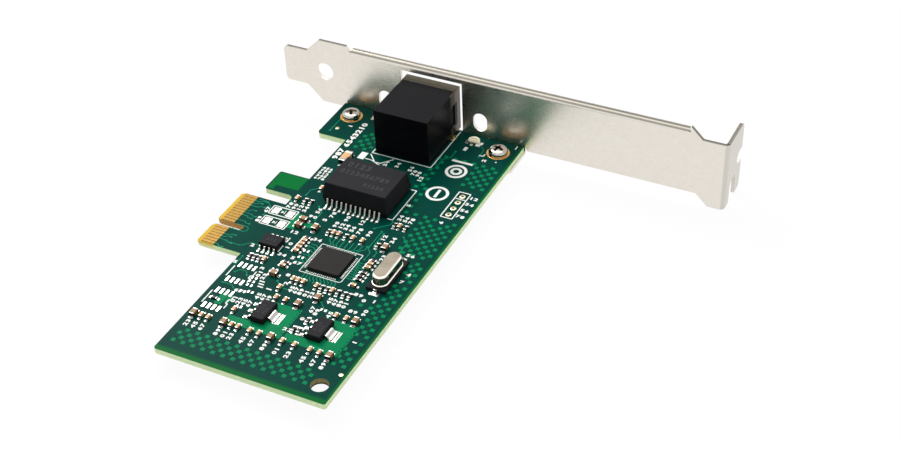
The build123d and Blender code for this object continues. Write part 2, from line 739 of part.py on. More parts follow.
def contact_block():
    half = BLOCK_WIDTH / 2
    rear = SOCKET_REAR + BLOCK_REAR_WALL
    body = block(SOCKET_X - half, SOCKET_X + half, rear, PLUG_REAR, TOP, TOP + BLOCK_HEIGHT)
    slot = CONTACT_WIDTH / 2 + COMB_GAP
    run_top = TOP + CONTACT_RUN + CONTACT_THICK / 2 + COMB_GAP
    for x, y in zip(CONTACTS_X, TAILS_Y):
        back = y - CONTACT_THICK / 2 - COMB_GAP
        body -= block(x - slot, x + slot, back, PLUG_REAR, TOP, run_top)
    return body


def socket_contacts():
    # Each spring rises from its tail, runs to the mouth and turns back up into the plug's way
    run = TOP + CONTACT_RUN
    mouth = SOCKET_FRONT - CONTACT_FRONT_WALL - CONTACT_THICK - COMB_GAP
    springs = []
    for x, y in zip(CONTACTS_X, TAILS_Y):
        path = [
            (y, UNDER - CONTACT_TAIL),
            (y, run),
            (mouth - CONTACT_TURN, run),
            (mouth, run + CONTACT_TURN / 2),
            (mouth - CONTACT_TURN, run + CONTACT_TURN),
            (PLUG_REAR + CONTACT_SETBACK, PLUG_LOW + CONTACT_RISE),
        ]
        profile = across(x - CONTACT_WIDTH / 2) * bent_strip(path, CONTACT_THICK)
        springs.append(extrude(profile, CONTACT_WIDTH))
    return springs


def socket_shield():
    half = SOCKET_WIDTH / 2
    skin = SHIELD_SHEET
    low = TOP + SHIELD_LIFT
    front = SOCKET_FRONT
    plate = block(SOCKET_X - half, SOCKET_X + half, front - skin, front, low, SOCKET_TOP)
    plate -= cavity(SHIELD_WINDOW_MARGIN, front - 2 * skin, front + skin)
    roof = block(SOCKET_X - half, SOCKET_X + half, front - SHIELD_TOP_DEPTH, front, SOCKET_TOP - skin, SOCKET_TOP)
    shape = plate + roof
    rear = front - SHIELD_SIDE_DEPTH
    for side in (-1, 1):
        outer = SOCKET_X + side * half
        inner = outer - side * skin
        x0 = min(outer, inner)
        x1 = max(outer, inner)
        wall = block(x0, x1, rear, front, low, SOCKET_TOP)
        wall += block(x0, x1, rear, rear + LEG_WIDTH, TOP - LEG_LENGTH, low)
        wall -= extrude(across(x0) * shield_cut(), skin)
        shape += wall
    return shape


def solder_joint(x, y, radius, wire_x, wire_y):
    # A cone of solder under the board, round the wire or strip that comes through
    base = RegularPolygon(radius, JOINT_SIDES, major_radius=False)
    cone = extrude(base, -JOINT_HEIGHT)
    tip = cone.faces().sort_by(Axis.Z)[0]
    cone = chamfer(tip.edges(), JOINT_DRAW, JOINT_HEIGHT - JOINT_FOOT, reference=tip)
    wire = standing(0, 0, -JOINT_HEIGHT, wire_x, wire_y, JOINT_HEIGHT)
    return Pos(x, y, UNDER) * (cone - wire)


def solder_joints():
    joints = []
    for x, y in zip(CONTACTS_X, TAILS_Y):
        joints.append(solder_joint(x, y, TAIL_JOINT_RADIUS, CONTACT_WIDTH, CONTACT_THICK))
    for x in LEGS_X:
        joints.append(solder_joint(x, LEG_Y, LEG_JOINT_RADIUS, SHIELD_SHEET, LEG_WIDTH))
    return joints


# Status lamps

def lamp_base(x):
    return standing(x, LAMP_Y, TOP, LAMP_WIDTH, LAMP_DEPTH, LAMP_HEIGHT)


def lamp_lens(x):
    # A half-round window that looks at the bracket
    front = LAMP_Y + LAMP_DEPTH / 2
    round_part = post(x, front, TOP, TOP + LENS_HEIGHT, LENS_RADIUS)
    rear_half = block(x - LENS_RADIUS, x + LENS_RADIUS, front - LENS_RADIUS, front, TOP, TOP + LENS_HEIGHT)
    return round_part - rear_half


# Packages

def moulded(length, width, low, seam, high, draft):
    # A moulded package: both halves narrow away from the seam where the leads come out
    upper = extrude(Rectangle(length, width), high - seam, taper=draft)
    lower = extrude(Rectangle(length, width), low - seam, taper=draft)
    return Pos(0, 0, seam) * (upper + lower)


def gull_wing(root, tip, exit_height, thick, foot):
    # The outline of a bent lead in its own plane, from the package's side to its foot
    knee = (root + tip - foot) / 2
    return bent_strip([
        (root, exit_height),
        (knee, exit_height),
        (tip - foot, thick / 2),
        (tip, thick / 2),
    ], thick)


def leads(count, pitch, width, profile):
    # A row of leads along X that point to +Y from the origin
    row = []
    for i in range(count):
        x = (i - (count - 1) / 2) * pitch
        row.append(extrude(across(x - width / 2) * profile, width))
    return row


def transformer_body():
    shape = moulded(TRANSFORMER_LENGTH, TRANSFORMER_WIDTH, TRANSFORMER_LIFT, TRANSFORMER_SEAM,
                    TRANSFORMER_HEIGHT, TRANSFORMER_DRAFT)
    return Pos(TRANSFORMER_X, TRANSFORMER_Y, TOP) * shape


def transformer_leads():
    profile = gull_wing(TRANSFORMER_WIDTH / 2, TRANSFORMER_SPAN / 2, TRANSFORMER_SEAM,
                        TRANSFORMER_LEAD_THICK, TRANSFORMER_FOOT)
    row = leads(TRANSFORMER_LEAD_COUNT, TRANSFORMER_PITCH, TRANSFORMER_LEAD_WIDTH, profile)
    place = Pos(TRANSFORMER_X, TRANSFORMER_Y, TOP)
    return [place * lead for lead in row] + [place * Rot(0, 0, 180) * lead for lead in row]


def controller_body():
    x, y = CONTROLLER_AT
    return standing(x, y, TOP, CONTROLLER_SIZE, CONTROLLER_SIZE, CONTROLLER_HEIGHT)


def controller_lands():
    x, y = CONTROLLER_AT
    out = (CONTROLLER_SIZE + CONTROLLER_LAND_REACH) / 2
    lands = []
    for quarter in range(4):
        for i in range(CONTROLLER_LANDS):
            offset = (i - (CONTROLLER_LANDS - 1) / 2) * CONTROLLER_PITCH
            land = standing(offset, out, 0, CONTROLLER_LAND_WIDTH, CONTROLLER_LAND_REACH,
                            CONTROLLER_LAND_HEIGHT)
            lands.append(Pos(x, y, TOP) * Rot(0, 0, 90 * quarter) * land)
    return lands


def memory_body():
    shape = moulded(MEMORY_LENGTH, MEMORY_WIDTH, MEMORY_LIFT, MEMORY_SEAM, MEMORY_HEIGHT, MEMORY_DRAFT)
    return Pos(*MEMORY_AT, TOP) * shape


def memory_leads():
    profile = gull_wing(MEMORY_WIDTH / 2, MEMORY_SPAN / 2, MEMORY_SEAM,
                        MEMORY_LEAD_THICK, MEMORY_FOOT)
    row = leads(MEMORY_LEAD_COUNT, MEMORY_PITCH, MEMORY_LEAD_WIDTH, profile)
    place = Pos(*MEMORY_AT, TOP)
    return [place * lead for lead in row] + [place * Rot(0, 0, 180) * lead for lead in row]


def crystal_base():
    x, y = CRYSTAL_AT
    return standing(x, y, TOP, CRYSTAL_BASE_WIDTH, CRYSTAL_BASE_LENGTH, CRYSTAL_BASE_HEIGHT)


def crystal_can():
    x, y = CRYSTAL_AT
    floor = TOP + CRYSTAL_BASE_HEIGHT
    can = oval(CRYSTAL_CAN_WIDTH, CRYSTAL_CAN_LENGTH)
    rim = oval(CRYSTAL_CAN_WIDTH + CRYSTAL_RIM, CRYSTAL_CAN_LENGTH + CRYSTAL_RIM)
    shape = extrude(can, CRYSTAL_CAN_HEIGHT)
    shape = chamfer(shape.faces().sort_by(Axis.Z)[-1].edges(), CRYSTAL_CAN_CHAMFER)
    shape += extrude(rim, CRYSTAL_RIM_HEIGHT)
    return Pos(x, y, floor) * shape


def crystal_terminals():
    # A strip at each end of the base, folded down its side and out on the board
    x, y = CRYSTAL_AT
    edge = CRYSTAL_BASE_LENGTH / 2
    half = CRYSTAL_STRIP / 2
    profile = bent_strip([
        (edge + half, CRYSTAL_BASE_HEIGHT),
        (edge + half, half),
        (edge + CRYSTAL_FOOT_REACH, half),
    ], CRYSTAL_STRIP)
    foot = extrude(across(-CRYSTAL_FOOT_WIDTH / 2) * profile, CRYSTAL_FOOT_WIDTH)
    place = Pos(x, y, TOP)
    return [place * foot, place * Rot(0, 0, 180) * foot]


def regulator_body(x):
    shape = moulded(REGULATOR_WIDTH, REGULATOR_LENGTH, REGULATOR_LIFT, REGULATOR_SEAM,
                    REGULATOR_HEIGHT, REGULATOR_DRAFT)
    return Pos(x, REGULATOR_Y, TOP) * shape


def regulator_leads(x):
    profile = gull_wing(REGULATOR_WIDTH / 2, REGULATOR_SPAN / 2, REGULATOR_SEAM,
                        REGULATOR_LEAD_THICK, REGULATOR_FOOT)
    place = Pos(x, REGULATOR_Y, TOP)
    row = leads(3, REGULATOR_PITCH, REGULATOR_LEAD_WIDTH, profile)
    tab = leads(1, REGULATOR_PITCH, REGULATOR_TAB_WIDTH, profile)
    turned = [place * Rot(0, 0, 90) * lead for lead in row]
    return turned + [place * Rot(0, 0, -90) * tab[0]]


def chips(size, rows, columns):
    # The ceramic bodies and the metal ends of the chips in rows and columns
    length, width, height = size
    end = length * CHIP_END_SHARE
    bodies = []
    ends = []
    places = [(x, y, CHIP_ACROSS) for y, row in rows for x in row]
    places += [(x, y, 0) for x, column in columns for y in column]
    for x, y, turn in places:
        place = Pos(x, y, TOP) * Rot(0, 0, turn)
        bodies.append(place * standing(0, 0, 0, length - 2 * end, width, height))
        for side in (-1, 1):
            ends.append(place * standing(side * (length - end) / 2, 0, 0, end, width, height))
    return bodies, ends


os.makedirs("parts", exist_ok=True)

save("circuit_board", circuit_board())
save("edge_contacts", edge_contacts())
save("ground_lands", ground_lands())
save("bare_pads", bare_pads())
save("bracket", bracket())
save("bracket_screws", bracket_screws())
save("socket_housing", socket_housing())
save("socket_contact_block", contact_block())
save("socket_contacts", socket_contacts())
save("socket_shield", socket_shield())
save("solder_joints", solder_joints())
for name, x in zip(("left", "right"), LAMPS_X):
    save(name + "_lamp_base", lamp_base(x))
    save(name + "_lamp_lens", lamp_lens(x))
save("transformer_body", transformer_body())
save("transformer_leads", transformer_leads())
save("controller_body", controller_body())
save("controller_lands", controller_lands())
save("memory_body", memory_body())
save("memory_leads", memory_leads())
save("crystal_base", crystal_base())
save("crystal_can", crystal_can())
save("crystal_terminals", crystal_terminals())
for name, x in zip(("left", "right"), REGULATOR_X):
    save(name + "_regulator_body", regulator_body(x))
    save(name + "_regulator_leads", regulator_leads(x))
surge_column = [(SURGE_CAPACITOR_AT[1], [SURGE_CAPACITOR_AT[0]])]
for name, size, rows, columns in (
    ("small_capacitor", SMALL_CAPACITOR, SMALL_CAPACITOR_ROWS, SMALL_CAPACITOR_COLUMNS),
    ("large_capacitor", LARGE_CAPACITOR, LARGE_CAPACITOR_ROWS, LARGE_CAPACITOR_COLUMNS),
    ("surge_capacitor", SURGE_CAPACITOR, surge_column, []),
    ("resistor", RESISTOR, RESISTOR_ROWS, RESISTOR_COLUMNS),
):
    bodies, ends = chips(size, rows, columns)
    save(name + "_bodies", bodies)
    save(name + "_ends", ends)
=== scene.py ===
import math
import bmesh
import bpy
from mathutils import Matrix, Vector


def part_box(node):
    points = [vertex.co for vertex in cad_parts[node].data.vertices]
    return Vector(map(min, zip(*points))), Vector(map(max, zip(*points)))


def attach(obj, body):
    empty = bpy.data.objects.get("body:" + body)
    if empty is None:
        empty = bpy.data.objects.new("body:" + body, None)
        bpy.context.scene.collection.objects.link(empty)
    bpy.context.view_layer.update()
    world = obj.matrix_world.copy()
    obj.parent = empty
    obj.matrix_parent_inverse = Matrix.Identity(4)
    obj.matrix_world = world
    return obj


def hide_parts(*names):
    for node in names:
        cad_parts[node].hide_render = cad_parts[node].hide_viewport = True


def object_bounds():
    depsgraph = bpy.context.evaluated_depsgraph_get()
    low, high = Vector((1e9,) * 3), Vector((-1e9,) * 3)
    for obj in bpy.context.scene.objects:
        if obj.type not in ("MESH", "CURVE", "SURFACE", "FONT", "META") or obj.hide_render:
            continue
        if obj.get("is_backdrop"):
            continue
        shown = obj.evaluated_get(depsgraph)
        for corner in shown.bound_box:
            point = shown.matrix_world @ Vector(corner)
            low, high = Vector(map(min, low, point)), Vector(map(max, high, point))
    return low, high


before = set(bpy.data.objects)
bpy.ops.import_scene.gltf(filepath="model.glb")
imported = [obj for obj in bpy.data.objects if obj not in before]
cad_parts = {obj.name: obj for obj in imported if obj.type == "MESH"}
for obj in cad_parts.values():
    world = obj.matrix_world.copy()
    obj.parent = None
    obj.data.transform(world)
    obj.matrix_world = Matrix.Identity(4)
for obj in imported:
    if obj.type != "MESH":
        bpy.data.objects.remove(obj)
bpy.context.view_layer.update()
mm = 0.001
print("frame loaded:", len(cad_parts), "nodes")


# shared tools

def toLinear(hexColour):  # an sRGB hex value as a linear colour
    channels = [int(hexColour[i:i + 2], 16) / 255 for i in (1, 3, 5)]
    return [c / 12.92 if c <= 0.04045 else ((c + 0.055) / 1.055) ** 2.4 for c in channels] + [1.0]


def feed(tree, node, inputs):  # an input is a value, or a socket to link from
    for key, value in inputs.items():
        if isinstance(value, bpy.types.NodeSocket):
            tree.links.new(value, node.inputs[key])
        else:
            node.inputs[key].default_value = value


def addNode(tree, kind, inputs=None, **settings):
    node = tree.nodes.new(kind)
    for key, value in settings.items():
        setattr(node, key, value)
    feed(tree, node, inputs or {})
    return node


def newMaterial(name):
    material = bpy.data.materials.new(name)
    material.use_nodes = True
    tree = material.node_tree
    shader = tree.nodes["Principled BSDF"]
    where = addNode(tree, "ShaderNodeTexCoord")
    inMm = addNode(tree, "ShaderNodeVectorMath", {0: where.outputs["Object"], 1: (1000, 1000, 1000)},
                   operation="MULTIPLY")
    return material, tree, shader, where, inMm.outputs["Vector"]


def mixColour(tree, amount, first, second):  # a colour is a hex value or a socket
    first, second = [toLinear(c) if isinstance(c, str) else c for c in (first, second)]
    return addNode(tree, "ShaderNodeMix", {0: amount, 6: first, 7: second}, data_type="RGBA").outputs[2]


def maths(tree, first, second, operation="MULTIPLY"):
    return addNode(tree, "ShaderNodeMath", {0: first, 1: second}, operation=operation).outputs[0]


def axes(tree, vector):
    return addNode(tree, "ShaderNodeSeparateXYZ", {0: vector}).outputs


def ramp(tree, value, start, end, low=0.0, high=1.0):  # from low at start to high at end, level beyond
    limits = {"Value": value, "From Min": start, "From Max": end, "To Min": low, "To Max": high}
    return addNode(tree, "ShaderNodeMapRange", limits).outputs["Result"]


def within(tree, value, low, high):  # 1 between low and high, and 0 elsewhere
    return maths(tree, maths(tree, value, low, "GREATER_THAN"), maths(tree, value, high, "LESS_THAN"))


def softWithin(tree, value, low, high, blend=0.1):  # the same, fading in over the blend at both ends
    return maths(tree, ramp(tree, value, low, low + blend), ramp(tree, value, high, high - blend))


def speckle(tree, inMm, grainMm, detail=2.0):  # noise whose grain is a real size in mm
    noise = addNode(tree, "ShaderNodeTexNoise", {"Vector": inMm, "Scale": 1 / grainMm, "Detail": detail})
    return noise.outputs["Fac"]


def between(tree, pattern, low, high):  # a value that follows a pattern from low to high
    return ramp(tree, pattern, 0.3, 0.7, low, high)


def addBump(tree, shader, height, strength, distanceMm):
    relief = {"Height": height, "Strength": strength, "Distance": distanceMm * mm}
    feed(tree, shader, {"Normal": addNode(tree, "ShaderNodeBump", relief).outputs["Normal"]})


def linked(mesh, name):
    piece = bpy.data.objects.new(name, mesh)
    bpy.context.scene.collection.objects.link(piece)
    return piece


def asPiece(shape, name):  # an edited shape made an object
    mesh = bpy.data.meshes.new(name)
    shape.to_mesh(mesh)
    shape.free()
    return linked(mesh, name)


def evaluated(piece):  # the piece as its modifiers leave it, as a plain mesh
    graph = bpy.context.evaluated_depsgraph_get()
    graph.update()
    mesh = bpy.data.meshes.new_from_object(piece.evaluated_get(graph), depsgraph=graph)
    name = piece.name
    bpy.data.objects.remove(piece)
    mesh.name = name
    return linked(mesh, name)


def settled(piece, weighted=False):
    piece = evaluated(piece)
    piece.data.shade_smooth()
    piece.data.set_sharp_from_angle(angle=math.radians(35))
    if weighted:  # wide faces stay flat beside their rounded edges
        normals = piece.modifiers.new("flatFaces", "WEIGHTED_NORMAL")
        normals.keep_sharp = True
        normals.weight = 100
        piece = evaluated(piece)
    return piece


def discard(*pieces):
    for piece in pieces:
        bpy.data.objects.remove(piece)


def mounted(piece, slot, *nodes):  # the piece rides on the card, and the nodes it stands for are hidden; the slot is not used
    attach(piece, "root")
    if nodes:
        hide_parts(*nodes)
    return piece


def painted(piece, material):
    piece.data.materials.clear()
    piece.data.materials.append(material)
    return piece


def mergedCopy(node):
    shape = bmesh.new()
    shape.from_mesh(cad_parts[node].data)
    bmesh.ops.remove_doubles(shape, verts=shape.verts, dist=0.002 * mm)
    return shape


def softened(node, name, material, slot, edgeMm, segments=2):  # a node's own form with its edges broken
    shape = mergedCopy(node)
    bmesh.ops.dissolve_limit(shape, angle_limit=math.radians(1), verts=shape.verts, edges=shape.edges)
    piece = asPiece(shape, name)
    bevel = piece.modifiers.new("edges", "BEVEL")
    bevel.width = edgeMm * mm
    bevel.segments = segments
    bevel.limit_method = "ANGLE"
    bevel.angle_limit = math.radians(30)
    piece = settled(painted(piece, material), weighted=True)
    return mounted(piece, slot, node)


def solidBoxes(node):  # the corners of each solid of a node, in mm
    shape = mergedCopy(node)
    shape.verts.ensure_lookup_table()
    seen = set()
    boxes = []
    for start in shape.verts:
        if start.index in seen:
            continue
        seen.add(start.index)
        group = [start]
        for vert in group:
            for edge in vert.link_edges:
                other = edge.other_vert(vert)
                if other.index not in seen:
                    seen.add(other.index)
                    group.append(other)
        spots = [v.co / mm for v in group]
        low = Vector([min(s[i] for s in spots) for i in range(3)])
        high = Vector([max(s[i] for s in spots) for i in range(3)])
        boxes.append((low, high))
    shape.free()
    return sorted(boxes, key=lambda b: (round(b[0].y, 2), round(b[0].x, 2)))


def middle(box):
    return (box[0] + box[1]) / 2


def boxOf(node):  # a node's box in mm
    low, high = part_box(node)
    return low / mm, high / mm


boardLow, boardHigh = boxOf("circuit_board")
top = boardHigh.z
under = boardLow.z


# camera: the photograph's viewing angle, its image taken as 900 by 450
photoCamera = {"azimuth": 29.184, "elevation": 38.277, "roll": -3.299, "placeMm": (185.83, -238.55, 225.38),
               "lens": 62.98, "sensor": 36, "shift": (0.0444, 0.0233)}


def makeCamera(spec):
    data = bpy.data.cameras.new("photoCamera")
    data.lens = spec["lens"]
    data.sensor_width = spec["sensor"]
    data.shift_x, data.shift_y = spec["shift"]
    data.clip_start = 0.01
    camera = bpy.data.objects.new("photoCamera", data)
    bpy.context.scene.collection.objects.link(camera)
    turn = math.radians(spec["azimuth"])
    rise = math.radians(spec["elevation"])
    back = Vector((math.sin(turn) * math.cos(rise), -math.cos(turn) * math.cos(rise), math.sin(rise)))
    level = Vector((math.cos(turn), math.sin(turn), 0))
    upward = back.cross(level)
    roll = math.radians(spec["roll"])
    right = level * math.cos(roll) + upward * math.sin(roll)
    up = back.cross(right)
    facing = Matrix((right, up, back)).transposed().to_4x4()
    camera.matrix_world = Matrix.Translation(Vector(spec["placeMm"]) * mm) @ facing
    bpy.context.scene.camera = camera


makeCamera(photoCamera)
print("camera set")


# studio: pale floor, even white surroundings, a broad lamp overhead and a small soft key behind the left side
studio = {"floorSizeM": 6.0, "floorDropMm": 0.02, "floorWhite": "#FAFAFA", "floorGlow": 0.955,
          "ambient": 0.36, "lamps": {  # watts, size, place and aim in metres
              "overhead": (11.0, 1.5, (-0.15, 0.35, 1.2), (0.03, 0.0, 0.0)),
              "softKey": (2.0, 0.26, (-0.36, 0.3, 0.5), (0.03, 0.01, 0.0))}}


def makeFloor(spec):
    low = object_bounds()[0].z - spec["floorDropMm"] * mm
    half = spec["floorSizeM"] / 2
    corners = [(-half, -half, low), (half, -half, low), (half, half, low), (-half, half, low)]
    mesh = bpy.data.meshes.new("floor")
    mesh.from_pydata(corners, [], [(0, 1, 2, 3)])
    floor = linked(mesh, "floor")
    material, tree, shader, where, inMm = newMaterial("paleFloor")
    floorTone = toLinear(spec["floorWhite"])
    feed(tree, shader, {"Base Color": floorTone, "Roughness": 0.9, "Specular IOR Level": 0.1})
    glow = addNode(tree, "ShaderNodeEmission", {"Color": (1, 1, 1, 1), "Strength": 1.0}).outputs[0]
    path = addNode(tree, "ShaderNodeLightPath").outputs
    seen = maths(tree, path["Is Camera Ray"], path["Is Glossy Ray"], "MAXIMUM")
    share = maths(tree, seen, spec["floorGlow"])
    lit = addNode(tree, "ShaderNodeMixShader", {0: share, 1: shader.outputs[0], 2: glow})
    feed(tree, tree.nodes["Material Output"], {"Surface": lit.outputs[0]})
    painted(floor, material)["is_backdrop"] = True


def makeLight(spec):
    world = bpy.data.worlds.new("studio")
    bpy.context.scene.world = world
    world.use_nodes = True
    tree = world.node_tree
    path = addNode(tree, "ShaderNodeLightPath").outputs
    seen = maths(tree, path["Is Camera Ray"], path["Is Glossy Ray"], "MAXIMUM")
    seen = maths(tree, seen, path["Is Transmission Ray"], "MAXIMUM")
    feed(tree, tree.nodes["Background"], {"Color": (1, 1, 1, 1),
                                          "Strength": ramp(tree, seen, 0.0, 1.0, spec["ambient"], 1.0)})
    for name, (watts, size, place, aim) in spec["lamps"].items():
        data = bpy.data.lights.new(name, "AREA")
        data.shape = "DISK"
        data.size = size
        data.energy = watts
        lamp = bpy.data.objects.new(name, data)
        bpy.context.scene.collection.objects.link(lamp)
        lamp.location = place
        lamp.rotation_mode = "QUATERNION"
        lamp.rotation_quaternion = (Vector(aim) - Vector(place)).to_track_quat("-Z", "Y")
    bpy.context.scene.view_settings.view_transform = "Standard"


makeFloor(studio)
makeLight(studio)
print("studio set")


# materials

maskLook = {
    "mask": "#003B33", "maskLight": "#01463B", "rim": "#02662C", "laminate": "#E2EFC9",
    "laminateDeep": "#BBD09A", "fingerLaminate": "#A8843E", "notchWall": "#B8935A",
    "holeWall": "#8C8460", "shade": "#16180F", "rearWall": "#23452F", "bevel": "#D9B23C",
    "weaveMm": 0.5, "gloss": 0.02, "fingerSpan": (-8.3, 12.3), "notch": (8.0, 1.1),
    "hole": ((51.1, -39.2), 2.4), "rimMm": (1.6, 0.7), "wrapMm": 0.28}


def boardMaterial(look, fingerEnd, bevelEnd):
    # glass-epoxy laminate under a screen-printed solder mask: satin, faintly woven, pale where it is cut
    material, tree, shader, where, inMm = newMaterial("solderMaskOnLaminate")
    place = axes(tree, inMm)
    facing = maths(tree, axes(tree, where.outputs["Normal"])["Z"], 0.0, "ABSOLUTE")
    cut = maths(tree, facing, 0.5, "LESS_THAN")
    mask = mixColour(tree, speckle(tree, inMm, 6.0, 3.0), look["mask"], look["maskLight"])
    # no inner copper runs under the rim, so light comes through it there
    endBand, sideBand = look["rimMm"]
    endRim = ramp(tree, place["Y"], boardLow.y + endBand, boardLow.y + endBand * 0.5)
    sideRim = ramp(tree, place["X"], boardHigh.x - sideBand, boardHigh.x - sideBand * 0.3)
    mask = mixColour(tree, maths(tree, endRim, sideRim, "MAXIMUM"), mask, look["rim"])
    layers = {"Vector": inMm, "Scale": 0.9, "Distortion": 1.5, "Detail": 2.0}
    plies = addNode(tree, "ShaderNodeTexWave", layers, bands_direction="Z").outputs["Fac"]
    laminate = mixColour(tree, plies, look["laminateDeep"], look["laminate"])
    wrap = ramp(tree, place["Z"], top - look["wrapMm"], top - look["wrapMm"] * 0.4)
    laminate = mixColour(tree, wrap, laminate, look["rim"])
    # the two tabs of fingers are bare laminate, and the key notch and the hole have walls of their own
    inTabs = within(tree, place["Y"], *look["fingerSpan"])
    fingers = maths(tree, maths(tree, place["X"], fingerEnd + 0.02, "LESS_THAN"), inTabs)
    flat = mixColour(tree, fingers, mask, look["fingerLaminate"])
    goldShare = maths(tree, fingers, ramp(tree, place["Z"], under - 0.1, top))
    wall = mixColour(tree, goldShare, laminate, look["bevel"])
    notchEnd, notchSide = look["notch"]
    inNotch = maths(tree, maths(tree, place["X"], notchEnd, "LESS_THAN"),
                    within(tree, place["Y"], -notchSide, notchSide))
    wall = mixColour(tree, inNotch, wall, look["notchWall"])
    (holeX, holeY), reach = look["hole"]
    inHole = maths(tree, within(tree, place["X"], holeX - reach, holeX + reach),
                   within(tree, place["Y"], holeY - reach, holeY + reach))
    # painted shadow: the bore goes near-black towards its lower end
    boreAndShadow = mixColour(tree, ramp(tree, place["Z"], under + 0.15, under + 0.6), look["shade"], look["holeWall"])
    wall = mixColour(tree, inHole, wall, boreAndShadow)
    rear = maths(tree, place["Y"], boardHigh.y - 0.05, "GREATER_THAN")
    wall = mixColour(tree, rear, wall, look["rearWall"])
    colour = mixColour(tree, cut, flat, wall)
    tips = maths(tree, maths(tree, place["X"], bevelEnd + 0.05, "LESS_THAN"), inTabs)
    colour = mixColour(tree, maths(tree, within(tree, facing, 0.5, 0.99), tips), colour, look["bevel"])
    # a painted glow on the cut edge stands in for the light that glass cloth carries inside it, so the cut
    # edge never goes dark
    feed(tree, shader, {"Base Color": colour, "Emission Color": colour, "Specular IOR Level": look["gloss"],
                        "Emission Strength": ramp(tree, cut, 0.0, 1.0, 0.0, 0.22),
                        "Roughness": between(tree, cut, 0.3, 0.7)})
    thread = {"Vector": inMm, "Scale": 0.31 / look["weaveMm"]}
    warp, weft = [addNode(tree, "ShaderNodeTexWave", thread, bands_direction=direction).outputs["Fac"]
                  for direction in ("X", "Y")]
    addBump(tree, shader, maths(tree, warp, weft), 0.1, 0.015)
    return material


def maskedCopper(name, deepHex, lightHex):
    # the same mask where copper lies under it, so it reads brighter and stands a little proud
    material, tree, shader, where, inMm = newMaterial(name)
    feed(tree, shader, {"Base Color": mixColour(tree, speckle(tree, inMm, 3.0, 3.0), deepHex, lightHex),
                        "Roughness": 0.3, "Specular IOR Level": maskLook["gloss"]})
    addBump(tree, shader, speckle(tree, inMm, 0.4), 0.08, 0.02)
    return material


def screenInk():
    # epoxy legend ink: flat white, a little uneven where it was printed thin
    material, tree, shader, where, inMm = newMaterial("legendInk")
    feed(tree, shader, {"Base Color": mixColour(tree, speckle(tree, inMm, 0.7, 3.0), "#E9ECE6", "#FBFCF8"),
                        "Roughness": 0.55})
    addBump(tree, shader, speckle(tree, inMm, 0.15), 0.1, 0.01)
    return material


def metal(name, darkHex, lightHex, roughLow, roughHigh, grainMm, bumpStrength=0.1, bumpMm=0.01):
    # a plain metal whose tone and polish wander at the scale of its grain
    material, tree, shader, where, inMm = newMaterial(name)
    grain = speckle(tree, inMm, grainMm, 3.0)
    feed(tree, shader, {"Base Color": mixColour(tree, grain, darkHex, lightHex), "Metallic": 1.0,
                        "Roughness": between(tree, grain, roughLow, roughHigh)})
    addBump(tree, shader, speckle(tree, inMm, grainMm / 3), bumpStrength, bumpMm)
    return material


def tinWithShadedSides(name, sideShadeHex, darkHex, lightHex, roughLow, roughHigh, grainMm):
    # tin that is bright where solder wetted it, with painted shade on its upright sides for the dark board
    # that they reflect
    material, tree, shader, where, inMm = newMaterial(name)
    grain = speckle(tree, inMm, grainMm, 3.0)
    facing = maths(tree, axes(tree, where.outputs["Normal"])["Z"], 0.0, "ABSOLUTE")
    # painted shade: faces that stand upright take the darker side tone
    tone = mixColour(tree, ramp(tree, facing, 0.35, 0.75), sideShadeHex, mixColour(tree, grain, darkHex, lightHex))
    rough = between(tree, grain, roughLow, roughHigh)
    feed(tree, shader, {"Base Color": tone, "Metallic": 1.0, "Roughness": rough})
    addBump(tree, shader, speckle(tree, inMm, grainMm / 3), 0.08, 0.008)
    return material


def nickelSheet(look):
    # cold-rolled steel, tumbled and nickel plated: warm, satin, finely mottled, dull where it was sheared
    material, tree, shader, where, inMm = newMaterial("nickelPlatedSheet")
    place = axes(tree, inMm)
    upward = axes(tree, where.outputs["Normal"])["Z"]
    tone = mixColour(tree, speckle(tree, inMm, 1.6, 4.0), "#E2DBD0", "#ECE7DF")
    high = ramp(tree, place["Z"], look["rimFrom"], look["rimFrom"] + 0.1)
    rim = maths(tree, high, ramp(tree, upward, 0.45, 0.65))
    tone = mixColour(tree, rim, tone, look["sheared"])
    # painted shade: the rounding of the lip's fold is darkened to dim the overhead lamp's reflection on it
    fold = maths(tree, rim, softWithin(tree, place["X"], *look["lipLong"]))
    tone = mixColour(tree, fold, tone, look["foldShadeTone"])
    # painted shade: the lip's upward face is darkened to dim the overhead lamp's reflection on it
    level = maths(tree, high, ramp(tree, upward, 0.9, 0.97))
    lip = maths(tree, level, softWithin(tree, place["Y"], *look["lip"]))
    tone = mixColour(tree, lip, tone, look["lipShadeTone"])
    # painted shade: the flange's upright faces are made darker
    flange = ramp(tree, place["X"], look["flangeFrom"], look["flangeFrom"] + 0.3)
    tone = mixColour(tree, maths(tree, flange, ramp(tree, upward, 0.5, 0.3)), tone, look["flangeShadeTone"])
    stretched = addNode(tree, "ShaderNodeMapping", {"Vector": inMm, "Scale": (0.35, 1.0, 6.0)}).outputs[0]
    rolling = speckle(tree, stretched, 0.5, 3.0)
    feed(tree, shader, {"Base Color": tone, "Metallic": 1.0, "Roughness": between(tree, rolling, 0.25, 0.36)})
    addBump(tree, shader, speckle(tree, inMm, 0.6), 0.02, 0.008)
    return material


def moulding(name, darkHex, lightHex, rough, textureMm, bumpStrength=0.3, gloss=0.3):
    # moulded plastic or epoxy with the fine pitted skin that a spark-eroded mould leaves
    material, tree, shader, where, inMm = newMaterial(name)
    pits = speckle(tree, inMm, textureMm, 2.0)
    tone = mixColour(tree, speckle(tree, inMm, 2.5, 3.0), darkHex, lightHex)
    feed(tree, shader, {"Base Color": tone, "Roughness": between(tree, pits, rough - 0.06, rough + 0.06),
                        "Specular IOR Level": gloss})
    addBump(tree, shader, pits, bumpStrength, 0.015)
    return material


